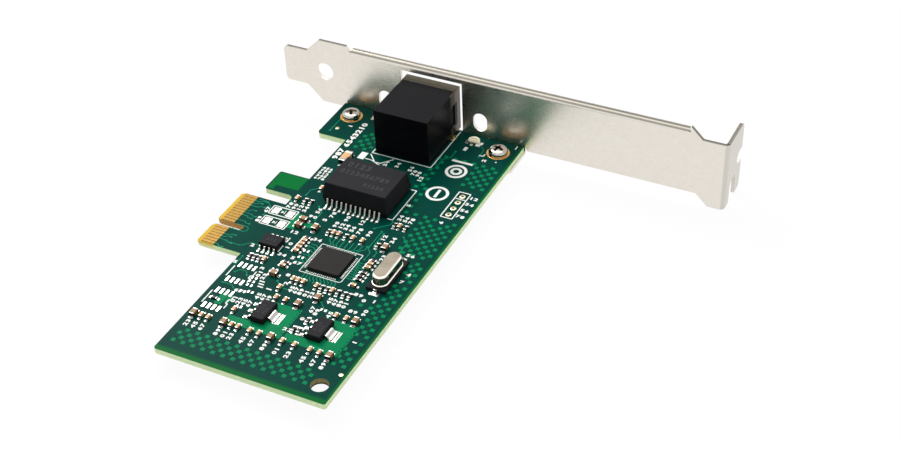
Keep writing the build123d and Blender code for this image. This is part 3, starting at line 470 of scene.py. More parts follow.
def drawnCan(box):
    # a deep-drawn nickel can: satin top, a painted highlight on its rounded rim, and bright on the welded
    # flange
    material, tree, shader, where, inMm = newMaterial("crystalCanNickel")
    grain = speckle(tree, inMm, 2.4, 3.0)
    upward = axes(tree, where.outputs["Normal"])["Z"]
    height = axes(tree, inMm)["Z"]
    # painted highlight: the rounded faces near the top go almost white
    rounded = maths(tree, ramp(tree, upward, 0.15, 0.4), ramp(tree, upward, 0.96, 0.85))
    rim = maths(tree, rounded, ramp(tree, height, box[1].z - 0.4, box[1].z - 0.3))
    tone = mixColour(tree, rim, mixColour(tree, grain, "#8C8274", "#978D7F"), "#FFFDF6")
    tone = mixColour(tree, ramp(tree, height, box[0].z + 0.5, box[0].z + 0.4), tone, "#E9E4DA")
    feed(tree, shader, {"Base Color": tone, "Metallic": 1.0, "Roughness": between(tree, grain, 0.16, 0.2)})
    addBump(tree, shader, speckle(tree, inMm, 0.8), 0.03, 0.01)
    return material


def shieldSheet(look):
    # thin tinned sheet; the latch slot in its side is painted near-black: the black moulding behind it, and
    # painted shade in the slot
    material, tree, shader, where, inMm = newMaterial("tinnedShieldSheet")
    grain = speckle(tree, inMm, 1.4, 3.0)
    place = axes(tree, inMm)
    slot = maths(tree, within(tree, place["Y"], *look["along"]), within(tree, place["Z"], *look["up"]))
    slot = maths(tree, slot, maths(tree, place["X"], look["side"], "GREATER_THAN"))
    # painted: near-black where the latch slot stands, for the moulding and the shade seen through it
    tone = mixColour(tree, slot, mixColour(tree, grain, "#484237", "#565044"), "#020202")
    feed(tree, shader, {"Base Color": tone, "Metallic": 1.0, "Roughness": between(tree, grain, 0.26, 0.34)})
    addBump(tree, shader, speckle(tree, inMm, 0.5), 0.03, 0.01)
    return material


def recessedNickel(boxes, look):
    # bright nickel plate on steel; painted shade darkens the inside of the driver's recess
    material, tree, shader, where, inMm = newMaterial("brightNickelScrew")
    grain = speckle(tree, inMm, 0.6, 3.0)
    place = axes(tree, inMm)
    left, right = sorted(middle(b).x for b in boxes)
    fromMiddle = maths(tree, maths(tree, place["X"], (left + right) / 2, "SUBTRACT"), 0.0, "ABSOLUTE")
    across = maths(tree, fromMiddle, (right - left) / 2, "SUBTRACT")
    along = maths(tree, place["Y"], middle(boxes[0]).y, "SUBTRACT")
    squares = maths(tree, maths(tree, across, across), maths(tree, along, along), "ADD")
    inner = maths(tree, maths(tree, squares, 0.5, "POWER"), look["darkRadius"], "LESS_THAN")
    deep = ramp(tree, place["Z"], look["level"], look["level"] - 0.3)
    above = maths(tree, place["Z"], look["seat"] + 0.02, "GREATER_THAN")
    # painted shade inside the recess, below its rim
    recessShade = maths(tree, maths(tree, inner, deep), above)
    tone = mixColour(tree, recessShade, mixColour(tree, grain, "#A9A49A", "#DAD6CE"), "#2B261E")
    feed(tree, shader, {"Base Color": tone, "Metallic": 1.0, "Roughness": between(tree, grain, 0.06, 0.13)})
    addBump(tree, shader, speckle(tree, inMm, 0.2), 0.05, 0.01)
    return material


def clearResin():
    # milky lamp resin, cast round the diode: a painted glow stands in for the little light that comes back
    # out of it
    material, tree, shader, where, inMm = newMaterial("milkyLampResin")
    feed(tree, shader, {"Base Color": mixColour(tree, speckle(tree, inMm, 0.6), "#F6EFD6", "#FFFBEA"),
                        "Emission Color": toLinear("#FFEFC2"), "Emission Strength": 0.3, "IOR": 1.52,
                        "Roughness": between(tree, speckle(tree, inMm, 0.5), 0.06, 0.16)})
    addBump(tree, shader, speckle(tree, inMm, 0.4), 0.06, 0.02)
    return material


fingerBox = boxOf("edge_contacts")
screwBoxes = solidBoxes("bracket_screws")
seat = boxOf("ground_lands")[1].z
sheetLook = {"rimFrom": 9.0, "sheared": "#837E75", "foldShadeTone": "#9A958B", "lipShadeTone": "#5C5954",
             "lipLong": (6.6, 96.5), "lip": (57.55, 58.55), "flangeFrom": 105.5, "flangeShadeTone": "#D2CDC4"}
finish = {
    "board": boardMaterial(maskLook, fingerBox[1].x, fingerBox[0].x),
    "copper": maskedCopper("maskOverCopper", "#067A4C", "#0A8A5A"),
    "trace": maskedCopper("maskOverTrace", "#15805F", "#229470"),
    "hook": maskedCopper("maskOverWideCopper", "#01692C", "#037538"),
    "ink": screenInk(),
    "gold": metal("hardGoldPlate", "#745A2A", "#866936", 0.36, 0.5, 0.9),
    "ringGold": metal("immersionGold", "#CE9A50", "#EBC182", 0.12, 0.24, 0.6),
    "paleGold": metal("thinFlashGold", "#CDBE98", "#E4D8B6", 0.2, 0.32, 0.6),
    "tin": metal("hotAirTin", "#B9B7B1", "#D2D0CA", 0.16, 0.3, 0.35, 0.15, 0.015),
    "capTin": tinWithShadedSides("firedTinCap", "#35332F", "#BDBBB5", "#D9D7D1", 0.12, 0.24, 0.4),
    "lead": tinWithShadedSides("tinnedLead", "#85847F", "#C2C0BA", "#DEDCD6", 0.1, 0.2, 0.4),
    "nickel": nickelSheet(sheetLook),
    "screw": recessedNickel(screwBoxes, {"darkRadius": 1.62, "level": seat + 1.42, "seat": seat}),
    "housing": moulding("blackSocketNylon", "#08080C", "#0C0C11", 0.3, 0.12, 0.14, 0.06),
    "combBlock": moulding("darkCombNylon", "#131316", "#1B1B1F", 0.4, 0.12, 0.2, 0.15),
    "shield": shieldSheet({"side": 36.6, "along": (54.9, 56.3), "up": (2.9, 9.9)}),
    "epoxy": moulding("packageEpoxy", "#1E1E20", "#262629", 0.5, 0.1, 0.2, 0.06),
    "dieEpoxy": moulding("fineGrainEpoxy", "#2A2827", "#312F2E", 0.55, 0.08, 0.15, 0.05),
    "mark": moulding("laserMark", "#39393B", "#424245", 0.6, 0.1, 0.2, 0.05),
    "can": drawnCan(boxOf("crystal_can")),
    "tan": moulding("firedCeramicTan", "#D6A26C", "#E8C08C", 0.42, 0.12, 0.15),
    "brown": moulding("firedCeramicBrown", "#8E6845", "#AE855B", 0.42, 0.12, 0.15),
    "glaze": moulding("resistorGlaze", "#0D0D0F", "#161618", 0.25, 0.2, 0.1),
    "lampCase": moulding("whiteLampNylon", "#EFE8CE", "#F8F3DE", 0.4, 0.15),
    "resin": clearResin()}
print("materials made:", len(finish))


# node trees for what repeats or follows a path

def startTree(name, **sockets):  # each socket's name and kind
    tree = bpy.data.node_groups.new(name, "GeometryNodeTree")
    tree.interface.new_socket("Geometry", in_out="INPUT", socket_type="NodeSocketGeometry")
    for label, kind in sockets.items():
        tree.interface.new_socket(label, in_out="INPUT", socket_type="NodeSocket" + kind)
    tree.interface.new_socket("Geometry", in_out="OUTPUT", socket_type="NodeSocketGeometry")
    return tree, addNode(tree, "NodeGroupInput").outputs


def endTree(tree, geometry, material):
    real = addNode(tree, "GeometryNodeRealizeInstances", {0: geometry})
    dressed = addNode(tree, "GeometryNodeSetMaterial", {"Geometry": real.outputs[0], "Material": material})
    addNode(tree, "NodeGroupOutput", {0: dressed.outputs[0]})
    return tree


def onPoints(tree, given, shape, **more):
    inputs = {"Points": given["Geometry"], "Instance": shape, **more}
    return endTree(tree, addNode(tree, "GeometryNodeInstanceOnPoints", inputs).outputs[0], given["Finish"])


def copiesTree():  # a copy of one piece on every point, turned and sized by the point's own attributes
    tree, given = startTree("copiesOnPoints", Copy="Object", Finish="Material")
    copy = addNode(tree, "GeometryNodeObjectInfo", {"Object": given["Copy"], "As Instance": True})
    turn, size = [addNode(tree, "GeometryNodeInputNamedAttribute", {"Name": name}, data_type="FLOAT_VECTOR")
                  for name in ("turn", "size")]
    rotation = addNode(tree, "FunctionNodeEulerToRotation", {0: turn.outputs[0]})
    return onPoints(tree, given, copy.outputs["Geometry"],
                    Rotation=rotation.outputs[0], Scale=size.outputs[0])


def platesTree():  # one square plate on every point
    tree, given = startTree("platesOnPoints", Side="Float", Thick="Float", Finish="Material")
    size = addNode(tree, "ShaderNodeCombineXYZ", {0: given["Side"], 1: given["Side"], 2: given["Thick"]})
    plate = addNode(tree, "GeometryNodeMeshCube", {"Size": size.outputs[0]})
    return onPoints(tree, given, plate.outputs["Mesh"])


def ribbonTree():  # a flat strip along every line, its corners rounded
    tree, given = startTree("ribbonsOnLines", Width="Float", Thick="Float", Corner="Float", Finish="Material")
    line = addNode(tree, "GeometryNodeMeshToCurve", {0: given["Geometry"]})
    rounding = {"Curve": line.outputs[0], "Radius": given["Corner"], "Limit Radius": True, "Count": 4}
    bent = addNode(tree, "GeometryNodeFilletCurve", rounding, mode="POLY")
    flat = addNode(tree, "GeometryNodeSetCurveNormal", {0: bent.outputs[0]}, mode="Z_UP")
    section = addNode(tree, "GeometryNodeCurvePrimitiveQuadrilateral", {"Width": given["Width"],
                                                                       "Height": given["Thick"]})
    strip = addNode(tree, "GeometryNodeCurveToMesh", {"Curve": flat.outputs[0], "Fill Caps": True,
                                                      "Profile Curve": section.outputs[0]})
    return endTree(tree, strip.outputs[0], given["Finish"])


def threadTree():  # a screw's thread: a helix with a three-sided ridge, on every point
    tree, given = startTree("threadOnPoints", Radius="Float", Length="Float", Turns="Float", Ridge="Float",
                            Finish="Material")
    helix = addNode(tree, "GeometryNodeCurveSpiral", {
        "Resolution": 24, "Rotations": given["Turns"], "Start Radius": given["Radius"],
        "End Radius": given["Radius"], "Height": given["Length"]})
    ridge = addNode(tree, "GeometryNodeCurvePrimitiveCircle", {"Resolution": 3, "Radius": given["Ridge"]},
                    mode="RADIUS")
    coil = addNode(tree, "GeometryNodeCurveToMesh", {"Curve": helix.outputs[0], "Fill Caps": True,
                                                     "Profile Curve": ridge.outputs[0]})
    return onPoints(tree, given, coil.outputs[0])


trees = {"copies": copiesTree(), "plates": platesTree(), "ribbons": ribbonTree(), "thread": threadTree()}


def grown(piece, tree, **values):  # gives the piece the tree with its inputs set by name, then settles it
    modifier = piece.modifiers.new("grown", "NODES")
    modifier.node_group = trees[tree]
    for item in trees[tree].interface.items_tree:
        if item.in_out == "INPUT" and item.name in values:
            modifier[item.identifier] = values[item.name]
    return settled(piece)


def pointsAt(name, places):  # a place is (position, turns in radians, size), all but the turns in mm
    mesh = bpy.data.meshes.new(name)
    mesh.from_pydata([Vector(p[0]) * mm for p in places], [], [])
    turn = mesh.attributes.new("turn", "FLOAT_VECTOR", "POINT")
    size = mesh.attributes.new("size", "FLOAT_VECTOR", "POINT")
    for i, place in enumerate(places):
        turn.data[i].vector = place[1]
        size.data[i].vector = place[2]
    return linked(mesh, name)


def standing(spots, height, size=(1, 1, 1)):  # unturned places at one height
    return [((x, y, height), (0, 0, 0), size) for x, y in spots]


def copiesOf(copy, name, places, material):
    return grown(pointsAt(name, places), "copies", Copy=copy, Finish=material)


def ribbons(name, lines, widthMm, thickMm, cornerMm, material):  # each line is a list of corners in mm
    mesh = bpy.data.meshes.new(name)
    spots = []
    runs = []
    for line in lines:
        first = len(spots)
        spots += [Vector(p) * mm for p in line]
        runs += [(first + i, first + i + 1) for i in range(len(line) - 1)]
    mesh.from_pydata(spots, runs, [])
    return grown(linked(mesh, name), "ribbons", Width=widthMm * mm, Thick=thickMm * mm,
                 Corner=cornerMm * mm, Finish=material)


def turnedShape(name, profile, steps):  # a lathe-turned form about Z from (radius, height) pairs in mm
    shape = bmesh.new()
    verts = [shape.verts.new((r * mm, 0, z * mm)) for r, z in profile]
    edges = [shape.edges.new((verts[i], verts[i + 1])) for i in range(len(verts) - 1)]
    bmesh.ops.spin(shape, geom=verts + edges, cent=(0, 0, 0), axis=(0, 0, 1), angle=math.tau, steps=steps,
                   use_duplicate=False)
    bmesh.ops.remove_doubles(shape, verts=shape.verts, dist=0.001 * mm)
    bmesh.ops.recalc_face_normals(shape, faces=shape.faces)
    return asPiece(shape, name)


def turnedCopies(name, profile, spots, height, look, steps, size=(1, 1, 1)):  # one turned form on every spot
    shape = turnedShape(name + "Shape", profile, steps)
    piece = copiesOf(shape, name, standing(spots, height, size), finish[look])
    discard(shape)
    return piece


def flatPlates(name, outlines, low, thickMm, material):  # upright prisms over closed outlines in mm
    shape = bmesh.new()
    for corners in outlines:
        base = [shape.verts.new((x * mm, y * mm, low * mm)) for x, y in corners]
        face = shape.faces.new(base)
        raised = bmesh.ops.extrude_face_region(shape, geom=[face])
        verts = [v for v in raised["geom"] if isinstance(v, bmesh.types.BMVert)]
        bmesh.ops.translate(shape, verts=verts, vec=(0, 0, thickMm * mm))
    bmesh.ops.recalc_face_normals(shape, faces=shape.faces)
    return painted(asPiece(shape, name), material)


def rectangle(x0, x1, y0, y1):
    return [(x0, y0), (x1, y0), (x1, y1), (x0, y1)]


print("node trees made:", len(trees))


# board and its plated contacts

sunk = 0.004  # mm by which flat work is let into the face it lies on


def keptForm(node, look):  # a CAD node whose own form is right keeps it
    painted(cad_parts[node], finish[look])


keptForm("circuit_board", "board")
keptForm("edge_contacts", "gold")

# copper under the mask: a staggered lattice of squares in the empty stretches
lattice = {"pitch": 1.27, "side": 1.0, "thick": 0.03, "phase": (16.17, -41.13),
           "zones": [  # x0, x1, y0, y1 in mm
               (14.2, 48.6, -41.5, -34.6),
               (37.2, 53.9, 20.4, 46.6),
               (40.5, 53.9, 5.6, 20.4),
               (49.8, 53.9, -33.0, 5.6),
               (45.6, 50.7, -18.2, -12.6),
               (15.2, 21.4, 38.4, 48.2)],
           "gaps": [  # kept clear: marks, pads, the transformer's and the header's frames
               (41.6, 50.6, 22.8, 34.4), (48.0, 54.9, 22.0, 34.6), (40.6, 47.4, 33.8, 44.0),
               (36.9, 39.2, 16.6, 30.0), (38.6, 44.6, 13.0, 20.0), (49.0, 50.7, 19.2, 22.0),
               (43.4, 49.4, -17.9, -13.8), (50.4, 52.3, -26.0, -23.3), (50.0, 52.2, -3.8, -1.4),
               (40.0, 43.8, 4.6, 12.0), (12.4, 14.6, 30.0, 51.0), (48.2, 49.4, 46.0, 49.0),
               (18.4, 21.0, 35.6, 39.3)]}


def latticeSpots(spec):
    spots = []
    columns = math.ceil((boardHigh.x - boardLow.x) / spec["pitch"])
    rows = math.ceil((boardHigh.y - boardLow.y) / spec["pitch"])
    half = spec["side"] / 2
    for i in range(-10, columns):
        for j in range(-2, rows):
            x = spec["phase"][0] + i * spec["pitch"]
            y = spec["phase"][1] + j * spec["pitch"]
            inside = any(x0 + half <= x <= x1 - half and y0 + half <= y <= y1 - half
                         for x0, x1, y0, y1 in spec["zones"])
            kept = any(x0 - half < x < x1 + half and y0 - half < y < y1 + half
                       for x0, x1, y0, y1 in spec["gaps"])
            if (i + j) % 2 == 0 and inside and not kept:
                spots.append((x, y))
    return spots


squarePoints = pointsAt("copperSquares", standing(latticeSpots(lattice), top + lattice["thick"] / 2 - sunk))
squares = grown(squarePoints, "plates", Side=lattice["side"] * mm, Thick=lattice["thick"] * mm,
                Finish=finish["copper"])
mounted(squares, "board")

# wide copper: heat spreaders beside the regulators, the strip at the free end and the hook
wideCopper = {"thick": 0.03, "areas": [
    rectangle(26.4, 35.9, -30.3, -20.0), rectangle(21.7, 26.4, -30.3, -27.8),
    rectangle(41.7, 50.2, -30.3, -19.9), rectangle(36.4, 41.7, -30.3, -27.8),
    rectangle(16.7, 19.0, 4.4, 10.2), rectangle(20.0, 23.0, 6.3, 8.2),
    rectangle(18.2, 19.4, -24.6, -22.4), rectangle(16.2, 18.0, -25.8, -22.0)],
    "hook": [rectangle(4.6, 12.3, 18.1, 23.2), rectangle(4.6, 6.2, 16.4, 18.1)]}
for name, areas, look in (("copperAreas", "areas", "copper"), ("hookCopper", "hook", "hook")):
    mounted(flatPlates(name, wideCopper[areas], top - sunk, wideCopper["thick"], finish[look]), "board")
print("copper laid:", len(squares.data.polygons), "faces in the lattice")


# traces under the mask
traceSpec = {"width": 0.22, "thick": 0.03, "corner": 0.15, "rise": 0.01}
chipBox = boxOf("controller_body")


def fanLines():
    # the controller's lines leave it square, then turn at 45 degrees towards the parts around it
    (left, near), (right, far) = chipBox[0].xy, chipBox[1].xy
    lines = []
    for k in range(9):  # up to the row of terminations
        x = left + 0.9 + k * 0.9
        bend = far + 0.9 + 0.24 * abs(k - 4)
        shift = (k - 4) * 0.28
        lines.append([(x, far + 0.3), (x, bend), (x + shift, bend + abs(shift)), (x + shift, far + 4.2)])
    for k in range(8):  # left, to the column of decoupling parts
        y = far - 0.8 - k
        bend = left - 1.1 - 0.22 * (k % 4)
        lines.append([(left - 0.3, y), (bend, y), (bend - 0.7, y + 0.7), (left - 3.3, y + 0.7)])
    for k in range(10):  # down, to the row of chip parts
        x = left + 0.8 + k * 0.82
        bend = near - 0.7 - 0.2 * (9 - k)
        lines.append([(x, near - 0.3), (x, bend), (x + 0.9, bend - 0.9), (x + 0.9, near - 3.2)])
    for k in range(9):  # right, to the crystal and its capacitors
        y = far - 0.9 - k * 0.85
        bend = right + 0.6 + 0.25 * k
        lines.append([(right + 0.3, y), (bend, y), (bend + 0.8, y - 0.8), (right + 3.4, y - 0.8)])
    return lines


def fingerLines():
    lines = []
    for k, box in enumerate(b for b in solidBoxes("edge_contacts") if b[0].z > 0):
        y = middle(box).y
        if k % 4 != 1 and abs(y) > 2:
            reach = 0.9 + 0.6 * (k % 3)
            side = 0.5 if y > 6 or -5 < y < 0 else -0.5
            lines.append([(box[1].x, y), (box[1].x + reach, y), (box[1].x + reach + 0.5, y + side),
                          (box[1].x + reach + 1.5, y + side)])
    lines.append([(5.4, 11.4), (8.0, 11.4), (9.6, 9.8), (9.6, 6.4)])
    lines.append([(5.6, 0.9), (8.6, 0.9), (9.2, 0.3), (9.2, -0.5), (8.6, -1.1), (5.6, -1.1)])
    lines.append([(6.6, -5.8), (10.8, -5.8), (12.6, -4.0), (15.6, -4.0)])
    return lines


longLines = [
    [(15.0, 17.4), (15.0, 19.6), (17.6, 22.2), (19.4, 22.2)], [(20.2, 14.6), (22.0, 12.8), (22.0, 9.6)],
    [(38.6, 12.0), (38.6, 5.2), (39.8, 4.0), (39.8, 1.2)],
    [(39.4, 11.4), (39.4, 6.4), (41.2, 4.6), (41.2, 3.2)], [(44.2, 12.2), (46.0, 10.4), (46.0, 7.0)],
    [(36.4, 12.4), (39.2, 15.2), (39.2, 16.4)],
    [(14.8, -14.6), (15.6, -13.4), (17.2, -13.4), (18.0, -14.6)],
    [(14.2, -18.9), (16.8, -18.9), (17.6, -19.7), (20.6, -19.7)], [(13.7, 9.9), (13.7, 13.0), (12.9, 13.8)],
    [(25.4, -13.4), (27.2, -15.2), (30.4, -15.2)], [(44.6, 53.2), (46.4, 51.4), (46.4, 48.4)],
    [(40.2, 48.2), (40.2, 45.4), (38.8, 44.0), (38.8, 40.6)], [(38.2, -15.9), (40.2, -17.9), (44.0, -17.9)],
    [(13.4, -9.0), (13.4, -12.0)], [(6.6, 52.0), (6.6, 44.0)]]


def onBoard(lines, height):
    return [[(x, y, height) for x, y in line] for line in lines]


signalLines = onBoard(fanLines() + fingerLines() + longLines, top + traceSpec["rise"])
traces = ribbons("signalTraces", signalLines, traceSpec["width"], traceSpec["thick"], traceSpec["corner"],
                 finish["trace"])
mounted(traces, "board")
print("traces laid:", len(traces.data.polygons), "faces")

# vias: low dimpled buttons under the mask where a line ends, and rows of them in the wide copper
viaSpec = {"radius": 0.3, "rise": 0.045, "areaRise": 0.02, "areaSize": (0.5, 0.5, 1), "rows": [
    # start, step and count
    ((35.5, -20.8), (0, -1.1), 8), ((49.8, -20.8), (0, -1.1), 8), ((27.4, -29.6), (1.9, 0), 4),
    ((37.4, -29.4), (1.5, 0), 3), ((5.4, 19.2), (1.6, 0), 1)]}
r, h = viaSpec["radius"], viaSpec["rise"]
viaProfile = [(0, 0), (r, 0), (r, h * 0.5), (r * 0.8, h), (r * 0.4, h), (r * 0.25, h * 0.4), (0, h * 0.4)]
viaSpots = [line[-1] for line in fanLines()[::2] + fingerLines() + longLines]
viaSpots += [line[0] for line in longLines]
areaSpots = [(x + dx * i, y + dy * i) for (x, y), (dx, dy), count in viaSpec["rows"] for i in range(count)]
mounted(turnedCopies("tentedVias", viaProfile, viaSpots, top, "trace", 12), "board")
areaVias = turnedCopies("areaVias", viaProfile, areaSpots, top + viaSpec["areaRise"], "board", 12,
                        viaSpec["areaSize"])
mounted(areaVias, "board")


# printed legend: lines, blocks and plain digits
legend = {"width": 0.3, "thick": 0.02, "lines": [
    [(21.3, 41.2), (21.3, 39.5), (37.6, 39.5), (37.6, 56.4)],
    [(21.2, 38.9), (23.7, 36.2), (25.3, 36.2), (27.7, 39.0)], [(20.8, 36.6), (22.6, 36.6), (25.4, 35.4)],
    [(37.4, 29.5), (38.8, 29.5), (38.8, 17.0), (37.4, 17.0)], [(20.0, 29.5), (20.0, 17.6)],
    [(13.65, -12.7), (13.65, -16.6)], [(13.65, -22.2), (13.65, -26.6)],
    [(19.4, -12.6), (19.4, -14.4), (18.9, -14.4), (18.9, -15.4), (19.4, -15.4), (19.4, -16.8)],
    [(19.4, -22.2), (19.4, -23.6), (18.9, -23.6), (18.9, -25.0), (19.4, -25.0), (19.4, -26.6)],
    [(20.1, 1.3), (20.1, -0.4), (19.4, -0.4), (19.4, -2.0), (20.1, -2.0), (20.1, -4.4)],
    [(48.4, 33.4), (51.4, 33.4), (51.4, 22.9), (48.4, 22.9), (48.4, 33.4)], [(48.4, 30.7), (51.4, 30.7)],
    [(53.4, 54.8), (53.4, 56.3)], [(46.2, 49.0), (47.4, 49.0), (47.4, 50.0)]],
    "fineWidth": 0.2, "fine": [
        [(28.1, 2.4), (38.85, 2.4), (38.85, -7.9), (38.45, -8.35), (28.1, -8.35), (28.1, 2.4)]],
    "blocks": [
        (18.8, 20.6, 36.0, 38.9), (41.5, 42.4, 49.4, 51.0), (43.5, 44.7, 52.3, 53.8),
        (51.1, 51.5, 47.7, 48.1), (21.7, 23.1, -15.3, -14.9), (22.0, 23.4, -16.2, -15.8),
        (22.3, 23.7, -17.1, -16.7), (24.5, 25.9, -17.0, -16.6)]}
inkHeight = top + traceSpec["thick"] + legend["thick"] / 2 - sunk  # the ink lies over the copper


def printed(name, lines, widthMm, cornerMm=0.12):
    ink = ribbons(name, onBoard(lines, inkHeight), widthMm, legend["thick"], cornerMm, finish["ink"])
    mounted(ink, "board")


diodeSign = {  # half sizes of the frame, then start, end and half width of the arrow and of the bar
    "frame": (3.35, 1.55), "arrow": (-0.5, 0.25, 0.55), "bar": (0.3, 0.5, 0.6)}


def diodePrint(places):  # a frame round both pads with the diode sign between them
    halfLong, halfWide = diodeSign["frame"]
    start, end, arrowHalf = diodeSign["arrow"]
    near, far, barHalf = diodeSign["bar"]
    lines = []
    blocks = []
    for x, y in places:
        border = rectangle(x - halfLong, x + halfLong, y - halfWide, y + halfWide)
        lines.append(border + border[:1])
        blocks.append([(x + start, y - arrowHalf), (x + end, y), (x + start, y + arrowHalf)])
        blocks.append(rectangle(x + near, x + far, y - barHalf, y + barHalf))
    return lines, blocks


diodePads = [b for b in solidBoxes("bare_pads") if 1.8 < (b[1] - b[0]).x < 2.0 and b[0].y > 0]
diodeRows = sorted({round(middle(b).y, 2) for b in diodePads})
diodeX = sum(middle(b).x for b in diodePads) / len(diodePads)
diodeLines, diodeBlocks = diodePrint([(diodeX, y) for y in diodeRows])
printed("legendLines", legend["lines"] + diodeLines, legend["width"])
printed("legendFineLines", legend["fine"], legend["fineWidth"])
blocks = [rectangle(*b) for b in legend["blocks"]] + diodeBlocks
blockLow = inkHeight - legend["thick"] / 2
mounted(flatPlates("legendBlocks", blocks, blockLow, legend["thick"], finish["ink"]), "board")

# generic signs: a ring target and a ring with a bar stand where the board has room for them
signs = {"width": 0.75, "rings": [((44.0, 40.6), 2.4), ((44.0, 40.6), 1.1), ((43.8, 30.6), 2.5)],
         "bars": [[(41.0, 44.6), (46.6, 44.6)], [(43.8, 29.0), (43.8, 32.2)]]}


def ringLine(centre, radius, steps=40):
    angles = [math.tau * i / steps for i in range(steps + 1)]
    return [(centre[0] + radius * math.cos(a), centre[1] + radius * math.sin(a)) for a in angles]


signLines = [ringLine(*ring) for ring in signs["rings"]] + signs["bars"]
printed("legendSigns", signLines, signs["width"], 0.0)


# digits: drawn once from the built-in font, then set as labels
labels = {
    "turned": [  # read along the board, place and count of digits
        (10.6, 47.7, 1), (48.3, 47.4, 1), (29.7, 37.2, 2), (33.4, 37.1, 2), (34.8, 36.0, 2),
        (36.1, 35.9, 2), (37.4, 34.2, 2), (26.7, 36.7, 2), (39.7, 23.6, 1), (49.7, 20.7, 1),
        (13.5, 12.3, 2), (14.9, 12.3, 2), (16.3, 12.3, 2), (17.8, 12.3, 2), (21.05, 13.1, 2),
        (24.9, 13.1, 2), (28.8, 13.1, 2), (32.7, 13.1, 2), (40.2, 18.4, 2), (41.7, 18.4, 2),
        (43.2, 18.4, 2), (27.4, 10.1, 2), (28.9, 10.1, 2), (30.3, 10.1, 2), (31.9, 10.1, 2),
        (33.8, 10.1, 2), (36.3, 10.1, 2), (40.2, 10.1, 2), (42.6, 10.1, 2), (24.1, 10.6, 1), (9.4, 8.6, 2),
        (9.4, 4.6, 2), (21.3, -0.6, 1), (21.3, -2.1, 1), (43.4, 3.4, 2), (29.8, -14.7, 2), (31.0, -14.7, 2),
        (32.2, -14.7, 2), (33.6, -14.7, 2), (34.9, -14.7, 2), (39.7, -14.7, 2), (41.0, -14.7, 2),
        (42.3, -14.7, 2), (43.5, -14.7, 2), (27.7, -13.4, 1), (19.9, -11.0, 1), (42.0, -18.9, 2),
        (37.6, -18.9, 2), (38.9, -19.3, 2), (37.2, -22.5, 1), (51.4, -24.6, 1), (14.5, -33.9, 2),
        (16.4, -33.9, 2), (18.3, -33.9, 2), (22.3, -33.9, 2), (24.1, -33.9, 2), (25.7, -33.9, 2),
        (28.7, -33.9, 2), (31.0, -33.9, 2), (34.1, -33.9, 2), (37.2, -33.9, 2), (40.1, -33.9, 2),
        (43.8, -33.9, 2), (46.3, -33.9, 2), (48.7, -33.9, 2), (20.4, -13.0, 2), (21.8, -13.4, 2),
        (24.2, -19.8, 2), (25.5, -19.7, 2), (26.8, -19.7, 2), (19.9, -22.9, 2), (21.2, -22.9, 2),
        (22.5, -22.9, 2), (23.8, -22.9, 2), (26.6, -10.7, 1), (48.8, -15.2, 2)],
    "level": [  # read across the board
        (52.8, 32.1, 2), (52.8, 29.6, 2), (52.8, 27.0, 2), (52.8, 24.5, 2), (20.9, 10.5, 2), (19.8, 3.6, 2),
        (26.3, 3.2, 2), (48.9, 6.6, 2), (51.3, -2.5, 1), (44.6, -10.4, 2), (46.6, -11.6, 1),
        (48.9, -11.0, 1), (13.4, -4.6, 1), (21.5, -4.9, 2), (24.4, -4.9, 1), (26.3, -6.1, 2),
        (46.2, -15.9, 2), (38.6, -25.4, 2), (36.0, -26.9, 2), (51.6, 0.4, 1), (12.9, -11.4, 1),
        (19.2, -20.0, 2)],
    "column": {"x": 13.7, "from": 49.6, "step": -1.62, "digits": "0123456789", "gapAfter": 6, "gap": 0.9,
               "heightMm": 1.6},
    "stack": {"x": 14.5, "from": 29.0, "step": -1.1, "count": 5, "pitch": 1.0, "heightMm": 0.9},
    "heightMm": 1.08, "advance": 1.1, "stretch": 1.4, "stroke": 0.05}


def drawnDigits(stroke, thick):
    shapes = {}
    for char in "0123456789":
        curve = bpy.data.curves.new("digit" + char, "FONT")
        curve.body = char
        curve.offset = stroke
        curve.extrude = thick / 2
        curve.resolution_u = 2
        piece = evaluated(linked(curve, "digit" + char))
        spots = [v.co for v in piece.data.vertices]
        low = Vector([min(v[i] for v in spots) for i in range(3)])
        high = Vector([max(v[i] for v in spots) for i in range(3)])
        size = high.y - low.y
        mid = (low + high) / 2
        for spot in spots:
            spot.x = (spot.x - mid.x) / size
            spot.y = (spot.y - mid.y) / size
        shapes[char] = piece
    return shapes


def textSpots(spec):  # each digit's place, turn, height and sign
    found = []
    count = 0
    for style, turn in (("turned", math.pi / 2), ("level", 0)):
        for x, y, digits in spec[style]:
            for k in range(digits):
                along = (k - (digits - 1) / 2) * spec["advance"] * spec["heightMm"]
                count += 7
                found.append((x + along * math.cos(turn), y + along * math.sin(turn), turn, spec["heightMm"],
                              str(count * 3 % 10)))
    column = spec["column"]
    for k, char in enumerate(column["digits"]):
        y = column["from"] + k * column["step"] - (column["gap"] if k > column["gapAfter"] else 0)
        found.append((column["x"], y, math.pi / 2, column["heightMm"], char))
    stack = spec["stack"]
    for k in range(stack["count"]):
        for side in (-1, 0, 1):
            found.append((stack["x"] + side * stack["pitch"], stack["from"] + k * stack["step"], 0,
                          stack["heightMm"], str((k * 3 + side + 5) % 10)))
    return found


def setDigits(name, found, shapes, height, material, thick, stretch=1.0):  # all the digits as one piece
    shape = bmesh.new()
    for x, y, turn, size, char in found:
        copy = shapes[char].data.copy()
        scale = Matrix.Diagonal((size * stretch * mm, size * mm, thick * mm, 1))
        place = Matrix.Translation((x * mm, y * mm, height * mm))
        copy.transform(place @ Matrix.Rotation(turn, 4, "Z") @ scale)
        shape.from_mesh(copy)
        bpy.data.meshes.remove(copy)
    bmesh.ops.remove_doubles(shape, verts=shape.verts, dist=0.001 * mm)
    return painted(asPiece(shape, name), material)


digits = drawnDigits(labels["stroke"], 1.0)
legendDigits = setDigits("legendDigits", textSpots(labels), digits, inkHeight, finish["ink"], legend["thick"],
                         labels["stretch"])
mounted(legendDigits, "board")
print("legend printed")


